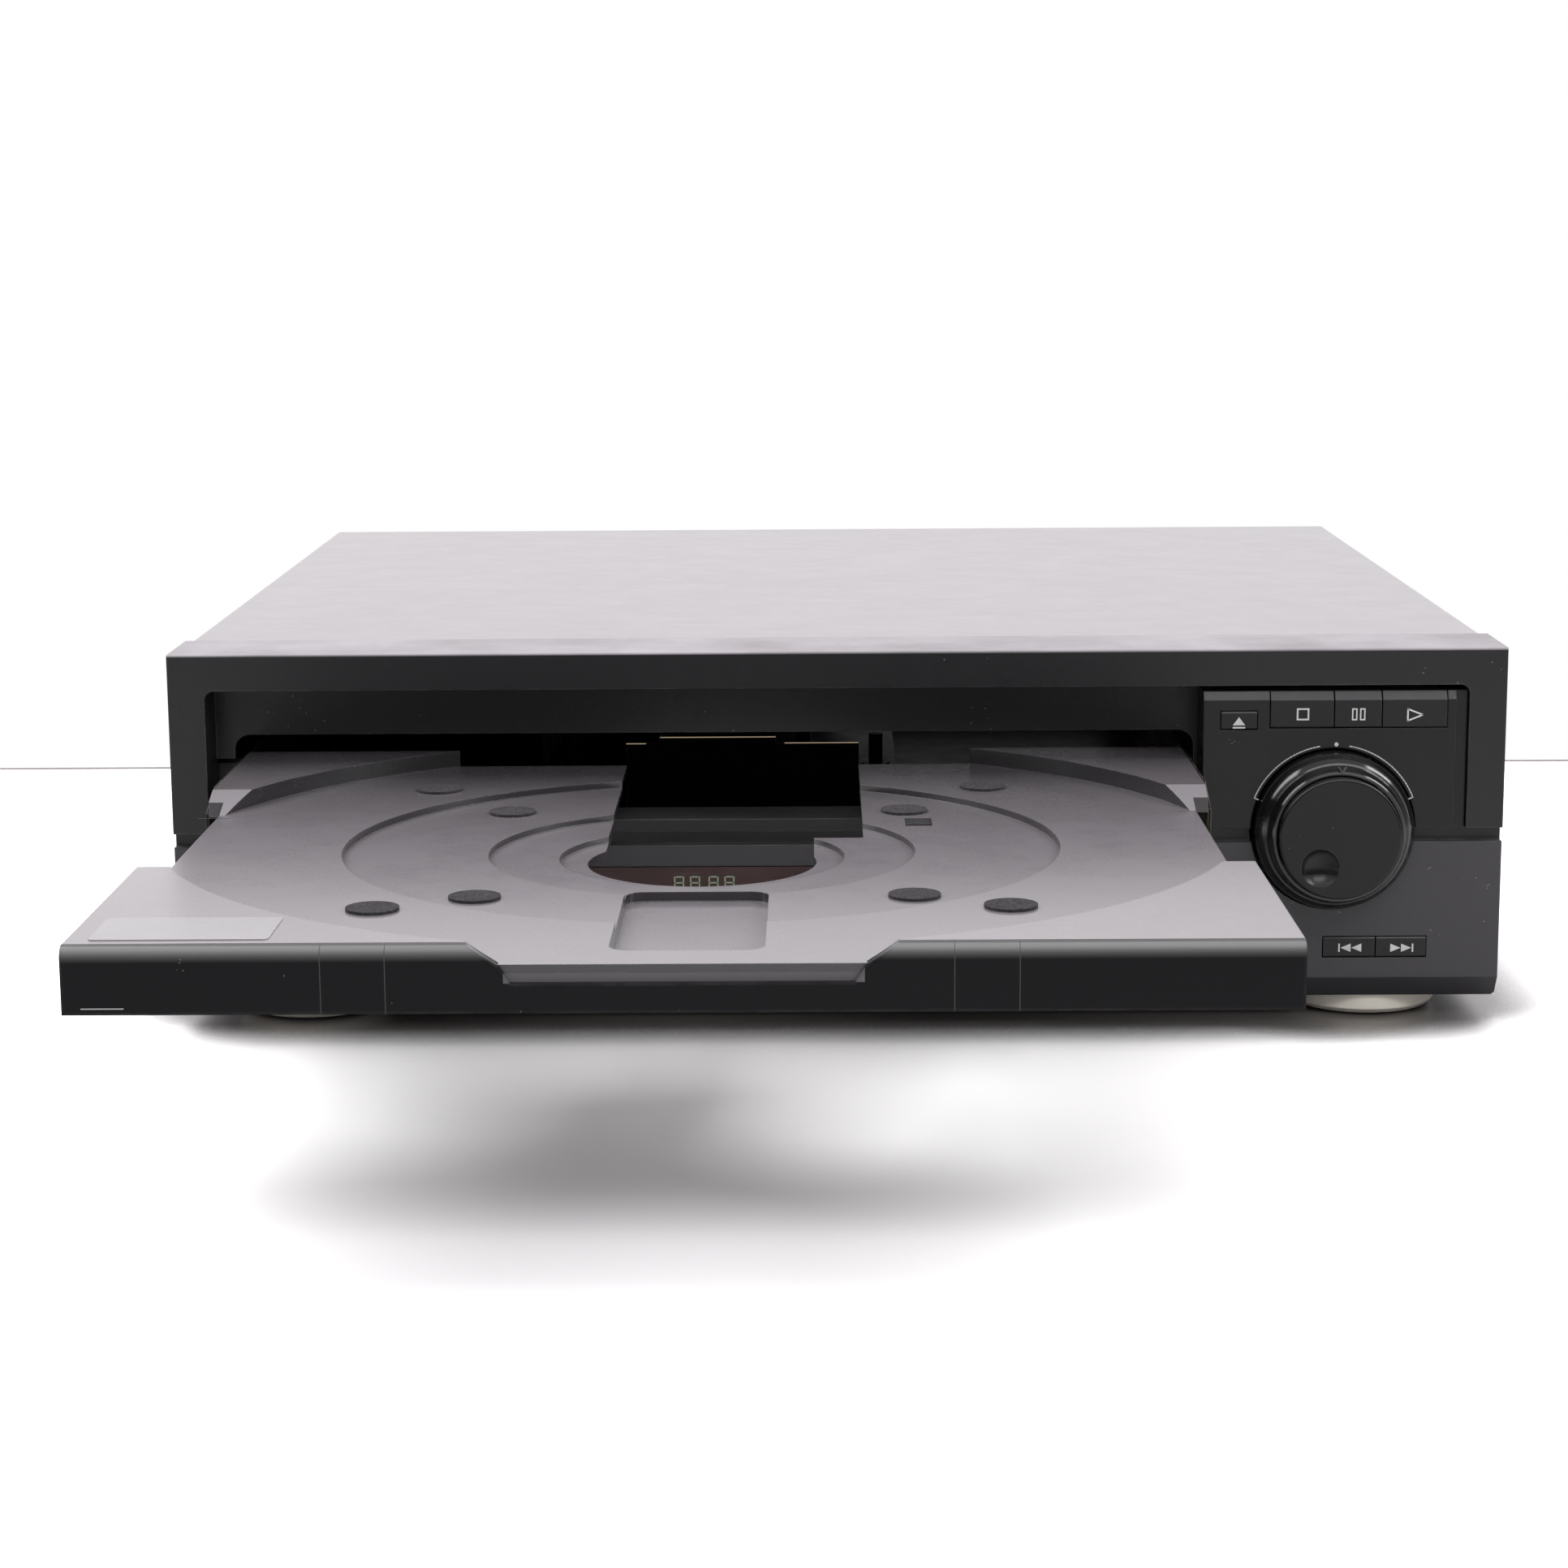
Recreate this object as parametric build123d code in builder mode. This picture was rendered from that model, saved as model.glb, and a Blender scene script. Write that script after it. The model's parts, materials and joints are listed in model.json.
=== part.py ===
from build123d import *
import math
import os

os.makedirs("parts", exist_ok=True)

# Disc player with a motorised front tray, shown with the tray out.
# X runs to the right, Y to the rear, Z up. The origin is on the floor, under the
# middle of the whole object with its tray out. Depths are measured from the face
# of the front panel, positive to the rear, and PANEL_Y is where that face stands.

# ---- case ----
CASE_WIDTH = 420.0
CASE_HEIGHT = 120.0
CASE_DEPTH = 371.0
FOOT_HEIGHT = 7.4
BEZEL_DEPTH = 33.0
WALL = 2.5
SHEET = 1.2
COVER_SHEET = 1.0
COVER_DROP = 0.8
COVER_INSET = 0.6
SEAM = 0.2
CLEAR = 0.3
LOWER_STEP = 0.8
GROOVE_TOP = CASE_HEIGHT * 0.5233
GROOVE_HEIGHT = 4.5
GROOVE_DEPTH = 4.0
CHAMFER_HEIGHT = 6.9
CORNER_CHAMFER = 1.0
CHAMFER_DEPTH = 4.5
FLANGE_HEIGHT = 15.0
REAR_LIP = 12.0
JACK_PROUD = 9.0

HALF = CASE_WIDTH / 2
GROOVE_BOTTOM = GROOVE_TOP - GROOVE_HEIGHT
COVER_TOP = CASE_HEIGHT - COVER_DROP
COVER_HALF = HALF - COVER_INSET
REAR_FACE = CASE_DEPTH - COVER_SHEET
PAN_HALF = COVER_HALF - COVER_SHEET - SEAM
PAN_TOP = FOOT_HEIGHT + SHEET

# ---- tray, shown out ----
TRAY_REACH = 249.0
TRAY_TRAVEL = 253.0
TRAY_X = -39.0
DISC_DEPTH = -102.7
TRAY_Z = CASE_HEIGHT * 2 / 3
LIP_HALF = HALF - 60.1
TRAY_HALF = LIP_HALF - 4.5
LIP_BACK = -155.3
LEDGE_FRONT = -42.5
LEDGE_SLOPE = 15.5
TRAY_REAR = 23.5
LEDGE_RISE = 5.1
LIP_HEIGHT = 16.9
LIP_WALL = 3.6
LIP_ROUND = 3.0
LIP_CLEAR = 1.3
NOTCH_TOP_HALF = 52.4
NOTCH_FLOOR_HALF = 44.5
NOTCH_LOW_HALF = 41.5
NOTCH_DROP = 9.6
DISC_RADIUS = LIP_HALF + 0.6
SINGLE_RADIUS = 101.5
COMPACT_RADIUS = 60.5
MINI_RADIUS = 40.5
SINGLE_STEP = 2.05
COMPACT_STEP = 1.75
MINI_STEP = 1.7
TRAY_FLOOR = 2.0
PAN_MARGIN = 2.5
CUTOUT_RADIUS = 32.5
CUTOUT_LEFT = -67.3
CUTOUT_RIGHT = -7.2
CUTOUT_WIDE = 7.2
CUTOUT_STEP = -77.0
POCKET_X = (-57.8, -19.3)
POCKET_DEPTHS = (-233.4, -149.5)
POCKET_DROP = 6.4
POCKET_ROUND = 5.0
SENSOR_X = (19.8, 27.7)
SENSOR_DEPTHS = (-68.3, -56.6)
PAD_RADIUS = 7.0
PAD_THICK = 0.8
OUTER_PADS = ((82.7, -84.0), (84.1, 84.1))
INNER_PADS = ((58.5, -61.6), (59.0, 57.0))
RAIL_SHEET = 1.0
RAIL_FLANGE = 6.2
RAIL_FLANGE_FRONT = 26.0
LABEL_X = (TRAY_X - LIP_HALF + 5.4, TRAY_X - LIP_HALF + 49.4)
LABEL_DEPTHS = (-242.2, -218.0)
LABEL_THICK = 0.25

LEDGE_Z = TRAY_Z + LEDGE_RISE
LIP_Z = LEDGE_Z - LIP_HEIGHT
SINGLE_Z = TRAY_Z - SINGLE_STEP
COMPACT_Z = SINGLE_Z - COMPACT_STEP
MINI_Z = COMPACT_Z - MINI_STEP
UNDER_Z = TRAY_Z - TRAY_FLOOR
TRAY_FRONT = -TRAY_REACH

PANEL_Y = (TRAY_REACH - REAR_FACE - JACK_PROUD) / 2

# ---- front panel openings ----
RECESS_X = (11.5 - HALF, HALF - 11.6)
RECESS_TOP = CASE_HEIGHT - 11.5
RECESS_DEPTH = 17.6
RECESS_ROUND = 3.0
SILL_Z = LIP_Z - LIP_CLEAR
SLOT_TOP = TRAY_Z + 11.7
SLOT_SIDE = 3.7
SLOT_ROUND = 5.0
SLOT_WIDE_Z = TRAY_Z + 4.0
PLATE_X = (HALF - 94.7, HALF - 15.5)
PLATE_TOP = RECESS_TOP - 2.0
PLATE_FACE = 0.6
PLATE_BEVEL = 2.8
PLATE_FLANGE = 2.0
WINDOW_X = (-119.0, 41.0)
WINDOW_Z = (FOOT_HEIGHT + CHAMFER_HEIGHT + 11.1, GROOVE_BOTTOM - 7.1)
WINDOW_THICK = 1.5
WINDOW_LAP = 2.0

# ---- dial ----
DIAL_X = HALF - 53.4
DIAL_Z = GROOVE_TOP - 0.3
RING_RADIUS = CASE_HEIGHT * 25 / 120
RING_PROUD = 12.8
RING_BORE = RING_RADIUS - 5.4
DISC_KNOB_RADIUS = RING_BORE - 0.5
KNOB_PROUD = 16.0
KNOB_THICK = 12.0
DIMPLE = (-6.2, -9.1)
DIMPLE_RADIUS = 6.0
DIMPLE_DEPTH = 2.8
DIAL_GAP = 1.0
SPINDLE_RADIUS = 3.0
BUSH_RADIUS = 4.6
FIT = 0.06

# ---- buttons ----
BUTTON_TRAVEL = 1.2
BUTTON_GAP = 0.3
BUTTON_PROUD = 0.4
BUTTON_DEEP = 9.0
OPEN_X = (HALF - 89.2, HALF - 78.0)
OPEN_Z = (PLATE_TOP - 11.9, PLATE_TOP - 6.3)
BANK_X = (HALF - 73.7, HALF - 18.5)
BANK_SPLITS = (HALF - 53.8, HALF - 38.8)
BANK_Z = (PLATE_TOP - 11.5, PLATE_TOP)
SKIP_X = (HALF - 55.6, HALF - 23.1)
SKIP_SPLIT = HALF - 39.1
SKIP_Z = (FOOT_HEIGHT + 13.6, FOOT_HEIGHT + 20.1)
SELECT_X = (HALF - 102.0, HALF - 86.0)
POWER_X = (20.0 - HALF, 44.0 - HALF)
POWER_Z = (FOOT_HEIGHT + 13.0, FOOT_HEIGHT + 20.8)
BUTTON_SPLIT_GAP = 0.4

# ---- boards ----
BOARD_THICK = 1.6
FRONT_BOARD_DEPTH = 24.0
FRONT_BOARD_X = (10.0 - HALF, HALF - 10.0)
FRONT_BOARD_Z = (FOOT_HEIGHT + 7.6, GROOVE_BOTTOM - 2.3)
FRONT_BOARD_TOP = RECESS_TOP - WALL
SWITCH_SIZE = 6.0
SWITCH_DEEP = 3.5
MAIN_BOARD_Z = PAN_TOP + 6.3
STANDOFF_RADIUS = 3.0

# ---- feet ----
FOOT_X = HALF - 39.0
FOOT_DEPTHS = (30.5, CASE_DEPTH - 49.0)
FOOT_RADIUS = 24.0
PAD_PROUD = 0.8
FOOT_PAD_RADIUS = 19.0
FOOT_PAD_BORE = 5.0
SCREW_RADIUS = 1.5
SCREW_HOLE = 1.6
HEAD_RADIUS = 3.2

# ---- mechanism frame ----
DECK_Z = TRAY_Z - 40.0
DECK_SHEET = 1.5
FRAME_LEFT = 8.5 - HALF
FRAME_RIGHT = 2 * TRAY_X - FRAME_LEFT
FRAME_FRONT = 27.0
FRAME_REAR = REAR_FACE - 12.0
DECK_DEPTHS = (36.0, FRAME_REAR - 6.0)
BRIDGE_Z = TRAY_Z + 9.3
BRIDGE_DEPTHS = (118.0, 182.0)
WALL_DEPTH = 125.0
WALL_X = (TRAY_X - 34.5, TRAY_X + 47.8)
WALL_TOP = TRAY_Z - 10.2
WALL_RAISED_X = (TRAY_X - 22.5, TRAY_X + 18.5)
WALL_RAISED_TOP = TRAY_Z - 8.0
GUIDE_FRONT = 21.5
GUIDE_Z = (TRAY_Z - 10.0, TRAY_Z + 2.0)
LEG_RADIUS = 4.0
LEG_X = (FRAME_LEFT + 6.5, FRAME_RIGHT - 6.5)
LEG_DEPTHS = (48.0, FRAME_REAR - 16.0)
DAMPER_HEIGHT = 6.0
DAMPER_RADIUS = 7.5
RAIL_TAIL = FRAME_REAR - 1.0 - TRAY_TRAVEL
FRONT_BOARD_TALL_X = (FRAME_RIGHT + 2.5, HALF - 10.0)
MAIN_BOARD_X = (FRAME_LEFT + 13.5, FRAME_RIGHT - 11.5)
MAIN_BOARD_DEPTHS = (66.0, REAR_FACE - 20.0)
POWER_BOARD_X = (FRAME_RIGHT + 7.5, HALF - 6.0)
POWER_BOARD_DEPTHS = (60.0, REAR_FACE - 144.0)

# ---- tray drive ----
DRIVE_MODULE = 1.5
DRIVE_TEETH = 24
PINION_TEETH = 12
RACK_X = TRAY_X + LIP_HALF - 18.9
RACK_BAR = 4.0
RACK_TEETH = 58
DRIVE_DEPTH = 45.0
GEAR_Z = (TRAY_Z - 18.0, TRAY_Z - 5.0)
RACK_Z = (TRAY_Z - 11.5, UNDER_Z)
MESH_ANGLE = 112.5
BACKLASH = 0.5
PULLEY_Z = (TRAY_Z - 25.0, TRAY_Z - 20.5)
PULLEY_RADIUS = 16.0
PULLEY_GROOVE = 14.4
MOTOR_PULLEY_RADIUS = 5.2
MOTOR_PULLEY_GROOVE = 3.4
BELT_WIDTH = 1.6
BELT_THICK = 1.2
BELT_GAP = 0.1
PULLEY_SPACING = 40.0
POST_RADIUS = 2.0
MOTOR_RADIUS = 12.0
MOTOR_Z = (MAIN_BOARD_Z + 8.0, TRAY_Z - 28.0)

# ---- playing unit ----
SPINDLE_DEPTH = DISC_DEPTH + TRAY_TRAVEL
PLAY_LIFT = 11.4
RIM_Z = TRAY_Z - 8.5
RIM_RADIUS = 19.0
RIM_THICK = 2.6
LARGE_HUB_RADIUS = 17.2
LARGE_HUB_RISE = 1.4
SMALL_HUB_RADIUS = 7.3
SMALL_HUB_RISE = 2.6
UNIT_Z = TRAY_Z - 26.0
UNIT_SHEET = 2.0
UNIT_HALF = 62.0
UNIT_DEPTHS = (128.5, FRAME_REAR - 8.0)
SLEEVE_OFFSET = 54.0
SLEEVE_DEPTHS = (140.0, FRAME_REAR - 16.0)
SLEEVE_RADIUS = 5.0
GUIDE_POST_RADIUS = 2.5
SPIN_MOTOR_RADIUS = 17.0
SPIN_MOTOR_HEIGHT = 9.0
SPIN_SHAFT_RADIUS = 1.5
ROD_OFFSET = 20.0
ROD_RADIUS = 1.5
ROD_Z = UNIT_Z + 7.0
ROD_DEPTHS = (160.5, FRAME_REAR - 9.0)
HOLDER_LENGTH = 5.0
SLED_HALF = 25.0
SLED_Z = (UNIT_Z + 3.5, UNIT_Z + 11.5)
SLED_NOSE = 5.0
SLED_LENGTH = 49.0
SLED_TRAVEL = FRAME_REAR - 235.0
LENS_START = 23.5
LENS_TRAVEL = 0.7
LENS_RADIUS = 3.0
LENS_GAP = 1.6
SLED_MODULE = 1.0
SLED_GEAR_TEETH = 12
SLED_PINION_TEETH = 8
SLED_RACK_X = -12.0
SLED_RACK_TEETH = math.ceil(SLED_TRAVEL / math.pi / SLED_MODULE) + 4
SLED_RACK_BAR = 1.2
SLED_GEAR_BACK = 27.0
SLED_GEAR_Z = (SLED_Z[1] + 0.8, SLED_Z[1] + 3.8)
SLED_MOTOR_RADIUS = 6.5
SLED_MOTOR_THICK = 2.4
SLED_BACKLASH = 0.35
CAM_SHEET = 2.0
CAM_DEPTHS = (150.0, FRAME_REAR - 28.0)
CAM_Z = (DECK_Z + DECK_SHEET + CLEAR, RIM_Z - 1.0)
CAM_PIN_RADIUS = 2.0
CAM_PIN_DEPTHS = (196.0, FRAME_REAR - 52.0)
CAM_PIN_Z = UNIT_Z + UNIT_SHEET / 2

# ---- clamper ----
PUCK_Z = TRAY_Z + 4.0
PUCK_RADIUS = 20.0
PUCK_THICK = 3.0
PUCK_NECK = 14.0
PUCK_FLANGE = 19.5
PUCK_FLOAT = 2.0
BRIDGE_SHEET = 1.5
BRIDGE_BORE = 15.5
BRIDGE_LIP = 8.0

STUB = 0.7
ROOT = 0.95
PRESSURE = math.radians(20)


def slab(x, depth, z, mode=Mode.ADD):
    """Box between two X values, two depths and two heights."""
    with Locations((sum(x) / 2, PANEL_Y + sum(depth) / 2, sum(z) / 2)):
        Box(abs(x[1] - x[0]), depth[1] - depth[0], z[1] - z[0], mode=mode)


def upright(x, depth, z, radius, mode=Mode.ADD):
    """Cylinder standing between two heights."""
    with Locations((x, PANEL_Y + depth, sum(z) / 2)):
        Cylinder(radius, z[1] - z[0], mode=mode)


def lengthwise(x, depth, z, radius, mode=Mode.ADD):
    """Cylinder lying along Y between two depths."""
    with Locations(Location((x, PANEL_Y + sum(depth) / 2, z), (90, 0, 0))):
        Cylinder(radius, depth[1] - depth[0], mode=mode)


def crosswise(x, depth, z, radius, mode=Mode.ADD):
    """Cylinder lying along X between two X values."""
    with Locations(Location((sum(x) / 2, PANEL_Y + depth, z), (0, 90, 0))):
        Cylinder(radius, x[1] - x[0], mode=mode)


def facing(depth):
    """Plane at a depth that looks out of the front, with X across and Z up."""
    return Plane((0, PANEL_Y + depth, 0), x_dir=(1, 0, 0), z_dir=(0, -1, 0))


def rounded(x, z, depth, radius, mode=Mode.ADD):
    """Slab between two depths, with rounded corners as seen from the front."""
    with BuildSketch(facing(depth[0])) as profile:
        with Locations((sum(x) / 2, sum(z) / 2)):
            RectangleRounded(x[1] - x[0], z[1] - z[0], radius)
    extrude(profile.sketch, amount=depth[0] - depth[1], mode=mode)


def flat_outline(points, z, mode=Mode.ADD):
    """Straight-sided plan outline of (X, depth) points, between two heights."""
    with BuildSketch(Plane.XY.offset(z[0])) as profile:
        with BuildLine():
            Polyline(*[(x, PANEL_Y + depth) for x, depth in points], close=True)
        make_face()
    extrude(profile.sketch, amount=z[1] - z[0], mode=mode)


def side_outline(points, x, mode=Mode.ADD):
    """Side outline of (depth, Z) points, between two X values."""
    with BuildSketch(Plane.YZ.offset(x[0])) as profile:
        with BuildLine():
            Polyline(*[(PANEL_Y + depth, z) for depth, z in points], close=True)
        make_face()
    extrude(profile.sketch, amount=x[1] - x[0], mode=mode)


def mirrored(x):
    """The same place on the other side of the tray's centre line."""
    return 2 * TRAY_X - x


def mirrored_span(span):
    return mirrored(span[1]), mirrored(span[0])


def involute(angle):
    return math.tan(angle) - angle


def gear_points(module, teeth, backlash, centre, start):
    """Outline of a stub-toothed gear; start is the angle of one tooth in degrees."""
    pitch_radius = module * teeth / 2
    base = pitch_radius * math.cos(PRESSURE)
    radii = [pitch_radius - ROOT * module, pitch_radius, pitch_radius + STUB * module]
    radii.insert(1, max(base, radii[0] + 0.05))
    tooth = (math.pi * module / 2 - backlash) / pitch_radius / 2
    flank = []
    for radius in radii:
        lean = math.acos(min(1.0, base / radius))
        flank.append((radius, tooth + involute(PRESSURE) - involute(lean)))
    points = []
    for index in range(teeth):
        middle = math.radians(start) + 2 * math.pi * index / teeth
        corners = [(radius, middle - half) for radius, half in flank]
        corners += [(radius, middle + half) for radius, half in reversed(flank)]
        for radius, angle in corners:
            points.append((centre[0] + radius * math.cos(angle), centre[1] + radius * math.sin(angle)))
    return points


def rack_points(module, teeth, backlash, pitch_x, first_depth, back_x):
    """Outline of a rack along Y whose teeth face -X; first_depth is its first tooth."""
    pitch = math.pi * module
    half = (pitch - 2 * backlash) / 4
    tip = half - STUB * module * math.tan(PRESSURE)
    root = half + ROOT * module * math.tan(PRESSURE)
    points = [(back_x, first_depth - pitch / 2)]
    points.append((pitch_x + ROOT * module, first_depth - pitch / 2))
    for index in range(teeth):
        middle = first_depth + index * pitch
        points.append((pitch_x + ROOT * module, middle - root))
        points.append((pitch_x - STUB * module, middle - tip))
        points.append((pitch_x - STUB * module, middle + tip))
        points.append((pitch_x + ROOT * module, middle + root))
    last_depth = first_depth + (teeth - 0.5) * pitch
    points.append((pitch_x + ROOT * module, last_depth))
    points.append((back_x, last_depth))
    return points


# ======================= case =======================

def panel_opening(x, z, depth=(-1.0, 6.0)):
    """Straight hole through the front skin."""
    slab(x, depth, z, Mode.SUBTRACT)


with BuildPart() as front_panel:
    slab((-HALF, HALF), (0, BEZEL_DEPTH), (GROOVE_BOTTOM, CASE_HEIGHT))
    rims = front_panel.edges().filter_by(Axis.X).sort_by(Axis.Z)[-2:]
    fillet(rims.sort_by(Axis.Y)[0], radius=0.8)
    side_outline(
        [
            (LOWER_STEP, GROOVE_BOTTOM),
            (LOWER_STEP, FOOT_HEIGHT + CHAMFER_HEIGHT),
            (LOWER_STEP + CHAMFER_DEPTH, FOOT_HEIGHT),
            (BEZEL_DEPTH, FOOT_HEIGHT),
            (BEZEL_DEPTH, GROOVE_BOTTOM),
        ],
        (-HALF, HALF),
    )
    bottom_sides = front_panel.edges().filter_by(Axis.Y).group_by(Axis.Z)[0]
    chamfer(bottom_sides, length=CORNER_CHAMFER)
    slab((-HALF, HALF), (0, GROOVE_DEPTH), (GROOVE_BOTTOM, GROOVE_TOP), Mode.SUBTRACT)
    inner = HALF - WALL
    slab((-inner, inner), (WALL, BEZEL_DEPTH), (GROOVE_TOP + WALL, CASE_HEIGHT - WALL), Mode.SUBTRACT)
    slab((-inner, inner), (GROOVE_DEPTH + WALL, BEZEL_DEPTH),
         (GROOVE_BOTTOM - WALL, GROOVE_TOP + WALL), Mode.SUBTRACT)
    slab((-inner, inner), (LOWER_STEP + WALL, BEZEL_DEPTH),
         (FOOT_HEIGHT + CHAMFER_HEIGHT + WALL / 2, GROOVE_BOTTOM - WALL), Mode.SUBTRACT)
    slab((-inner + WALL, inner - WALL), (LOWER_STEP + CHAMFER_DEPTH + WALL, BEZEL_DEPTH),
         (FOOT_HEIGHT + WALL, FOOT_HEIGHT + CHAMFER_HEIGHT + WALL / 2), Mode.SUBTRACT)
    pan_front = 20.0
    slab((-inner, inner), (pan_front, BEZEL_DEPTH), (FOOT_HEIGHT, FOOT_HEIGHT + 4), Mode.SUBTRACT)
    slab((RECESS_X[0] - WALL, PLATE_X[0]), (WALL, RECESS_DEPTH + WALL), (SILL_Z - WALL, RECESS_TOP + WALL))
    slab((PLATE_X[0], RECESS_X[1] + WALL), (WALL, RECESS_DEPTH + WALL), (GROOVE_TOP, RECESS_TOP + WALL))
    slab((PLATE_X[0], RECESS_X[1] + WALL), (GROOVE_DEPTH, RECESS_DEPTH + WALL),
         (GROOVE_TOP - WALL, GROOVE_TOP))
    rounded(RECESS_X, (SILL_Z, RECESS_TOP), (0, RECESS_DEPTH), RECESS_ROUND, Mode.SUBTRACT)
    slab(RECESS_X, (0, RECESS_DEPTH), (SILL_Z, SILL_Z + 2 * RECESS_ROUND), Mode.SUBTRACT)
    slab((PLATE_X[0] - 1, RECESS_X[1]), (0, RECESS_DEPTH), (GROOVE_TOP, SILL_Z + RECESS_ROUND), Mode.SUBTRACT)
    slot_x = (TRAY_X - LIP_HALF - SLOT_SIDE, TRAY_X + LIP_HALF + SLOT_SIDE - 0.5)
    rounded(slot_x, (SILL_Z, SLOT_TOP), (RECESS_DEPTH, RECESS_DEPTH + WALL), SLOT_ROUND, Mode.SUBTRACT)
    slab((RECESS_X[0], slot_x[1]), (RECESS_DEPTH, RECESS_DEPTH + WALL), (SILL_Z, SLOT_WIDE_Z), Mode.SUBTRACT)
    plate_back_x = (PLATE_X[0] + WALL + 0.5, RECESS_X[1] - WALL)
    plate_back_z = (GROOVE_TOP + WALL, RECESS_TOP - WALL)
    slab(plate_back_x, (RECESS_DEPTH, RECESS_DEPTH + WALL), plate_back_z, Mode.SUBTRACT)
    lengthwise(DIAL_X, (0, BEZEL_DEPTH), DIAL_Z, RING_RADIUS + DIAL_GAP, Mode.SUBTRACT)
    window_cut = (LOWER_STEP - 1, LOWER_STEP + WINDOW_THICK + 0.1)
    rounded((WINDOW_X[0] - CLEAR, WINDOW_X[1] + CLEAR), (WINDOW_Z[0] - CLEAR, WINDOW_Z[1] + CLEAR),
            window_cut, 1.5, Mode.SUBTRACT)
    panel_opening((WINDOW_X[0] + WINDOW_LAP, WINDOW_X[1] - WINDOW_LAP),
                  (WINDOW_Z[0] + WINDOW_LAP, WINDOW_Z[1] - WINDOW_LAP))
    for span, heights in ((SKIP_X, SKIP_Z), (SELECT_X, SKIP_Z), (POWER_X, POWER_Z)):
        panel_opening((span[0] - BUTTON_GAP, span[1] + BUTTON_GAP),
                      (heights[0] - BUTTON_GAP, heights[1] + BUTTON_GAP))
front_panel.part.label = "front_panel"
export_step(front_panel.part, "parts/front_panel.step")

with BuildPart() as control_plate:
    slab(PLATE_X, (PLATE_FACE, RECESS_DEPTH), (GROOVE_TOP, PLATE_TOP))
    top_front = control_plate.edges().filter_by(Axis.X).group_by(Axis.Z)[-1].sort_by(Axis.Y)[0]
    chamfer(top_front, length=PLATE_BEVEL, length2=1.2)
    slab((PLATE_X[0] + WALL, PLATE_X[1] - WALL), (PLATE_FACE + WALL, RECESS_DEPTH),
         (GROOVE_TOP + WALL, PLATE_TOP - WALL), Mode.SUBTRACT)
    slab((PLATE_X[1] - WALL, RECESS_X[1] - CLEAR), (PLATE_FLANGE, PLATE_FLANGE + WALL),
         (GROOVE_TOP, PLATE_TOP))
    slab((BANK_X[0] - BUTTON_GAP, BANK_X[1] + BUTTON_GAP), (0, RECESS_DEPTH),
         (BANK_Z[0] - BUTTON_GAP, PLATE_TOP), Mode.SUBTRACT)
    slab((OPEN_X[0] - BUTTON_GAP, OPEN_X[1] + BUTTON_GAP), (0, PLATE_FACE + WALL),
         (OPEN_Z[0] - BUTTON_GAP, OPEN_Z[1] + BUTTON_GAP), Mode.SUBTRACT)
    lengthwise(DIAL_X, (0, RECESS_DEPTH), DIAL_Z, RING_RADIUS + DIAL_GAP, Mode.SUBTRACT)
control_plate.part.label = "control_plate"
export_step(control_plate.part, "parts/control_plate.step")

with BuildPart() as display_window:
    rounded(WINDOW_X, WINDOW_Z, (LOWER_STEP + 0.1, LOWER_STEP + 0.1 + WINDOW_THICK), 1.2)
display_window.part.label = "display_window"
export_step(display_window.part, "parts/display_window.step")

pan_inner_half = HALF - WALL - SEAM
pan_front = 20.0 + SEAM
SIDE_SCREW_DEPTHS = (96.0, CASE_DEPTH - 71.0)
SIDE_SCREW_Z = PAN_TOP + FLANGE_HEIGHT - 6

with BuildPart() as bottom_chassis:
    slab((-pan_inner_half, pan_inner_half), (pan_front, BEZEL_DEPTH + SEAM), (FOOT_HEIGHT, PAN_TOP))
    slab((-PAN_HALF, PAN_HALF), (BEZEL_DEPTH + SEAM, REAR_FACE - SHEET), (FOOT_HEIGHT, PAN_TOP))
    for side in (-1, 1):
        edge = sorted((side * PAN_HALF, side * (PAN_HALF - SHEET)))
        slab(edge, (BEZEL_DEPTH + SEAM, REAR_FACE - SHEET), (PAN_TOP, PAN_TOP + FLANGE_HEIGHT))
    for x in (-FOOT_X, FOOT_X):
        for depth in FOOT_DEPTHS:
            upright(x, depth, (FOOT_HEIGHT, PAN_TOP), SCREW_HOLE, Mode.SUBTRACT)
    with BuildSketch(Plane.XY.offset(FOOT_HEIGHT)):
        with Locations((TRAY_X, PANEL_Y + CASE_DEPTH * 0.54)):
            with GridLocations(12, 60, 12, 2):
                SlotOverall(44, 4, rotation=90)
    extrude(amount=SHEET, mode=Mode.SUBTRACT)
    for depth in SIDE_SCREW_DEPTHS:
        crosswise((-HALF, HALF), depth, SIDE_SCREW_Z, SCREW_HOLE - 0.1, Mode.SUBTRACT)
bottom_chassis.part.label = "bottom_chassis"
export_step(bottom_chassis.part, "parts/bottom_chassis.step")

COVER_BOTTOM = FOOT_HEIGHT + 0.5
REAR_SCREW_X = (30.0 - HALF, 0.0, HALF - 30.0)
REAR_SCREW_Z = COVER_TOP - REAR_LIP / 2

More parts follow.
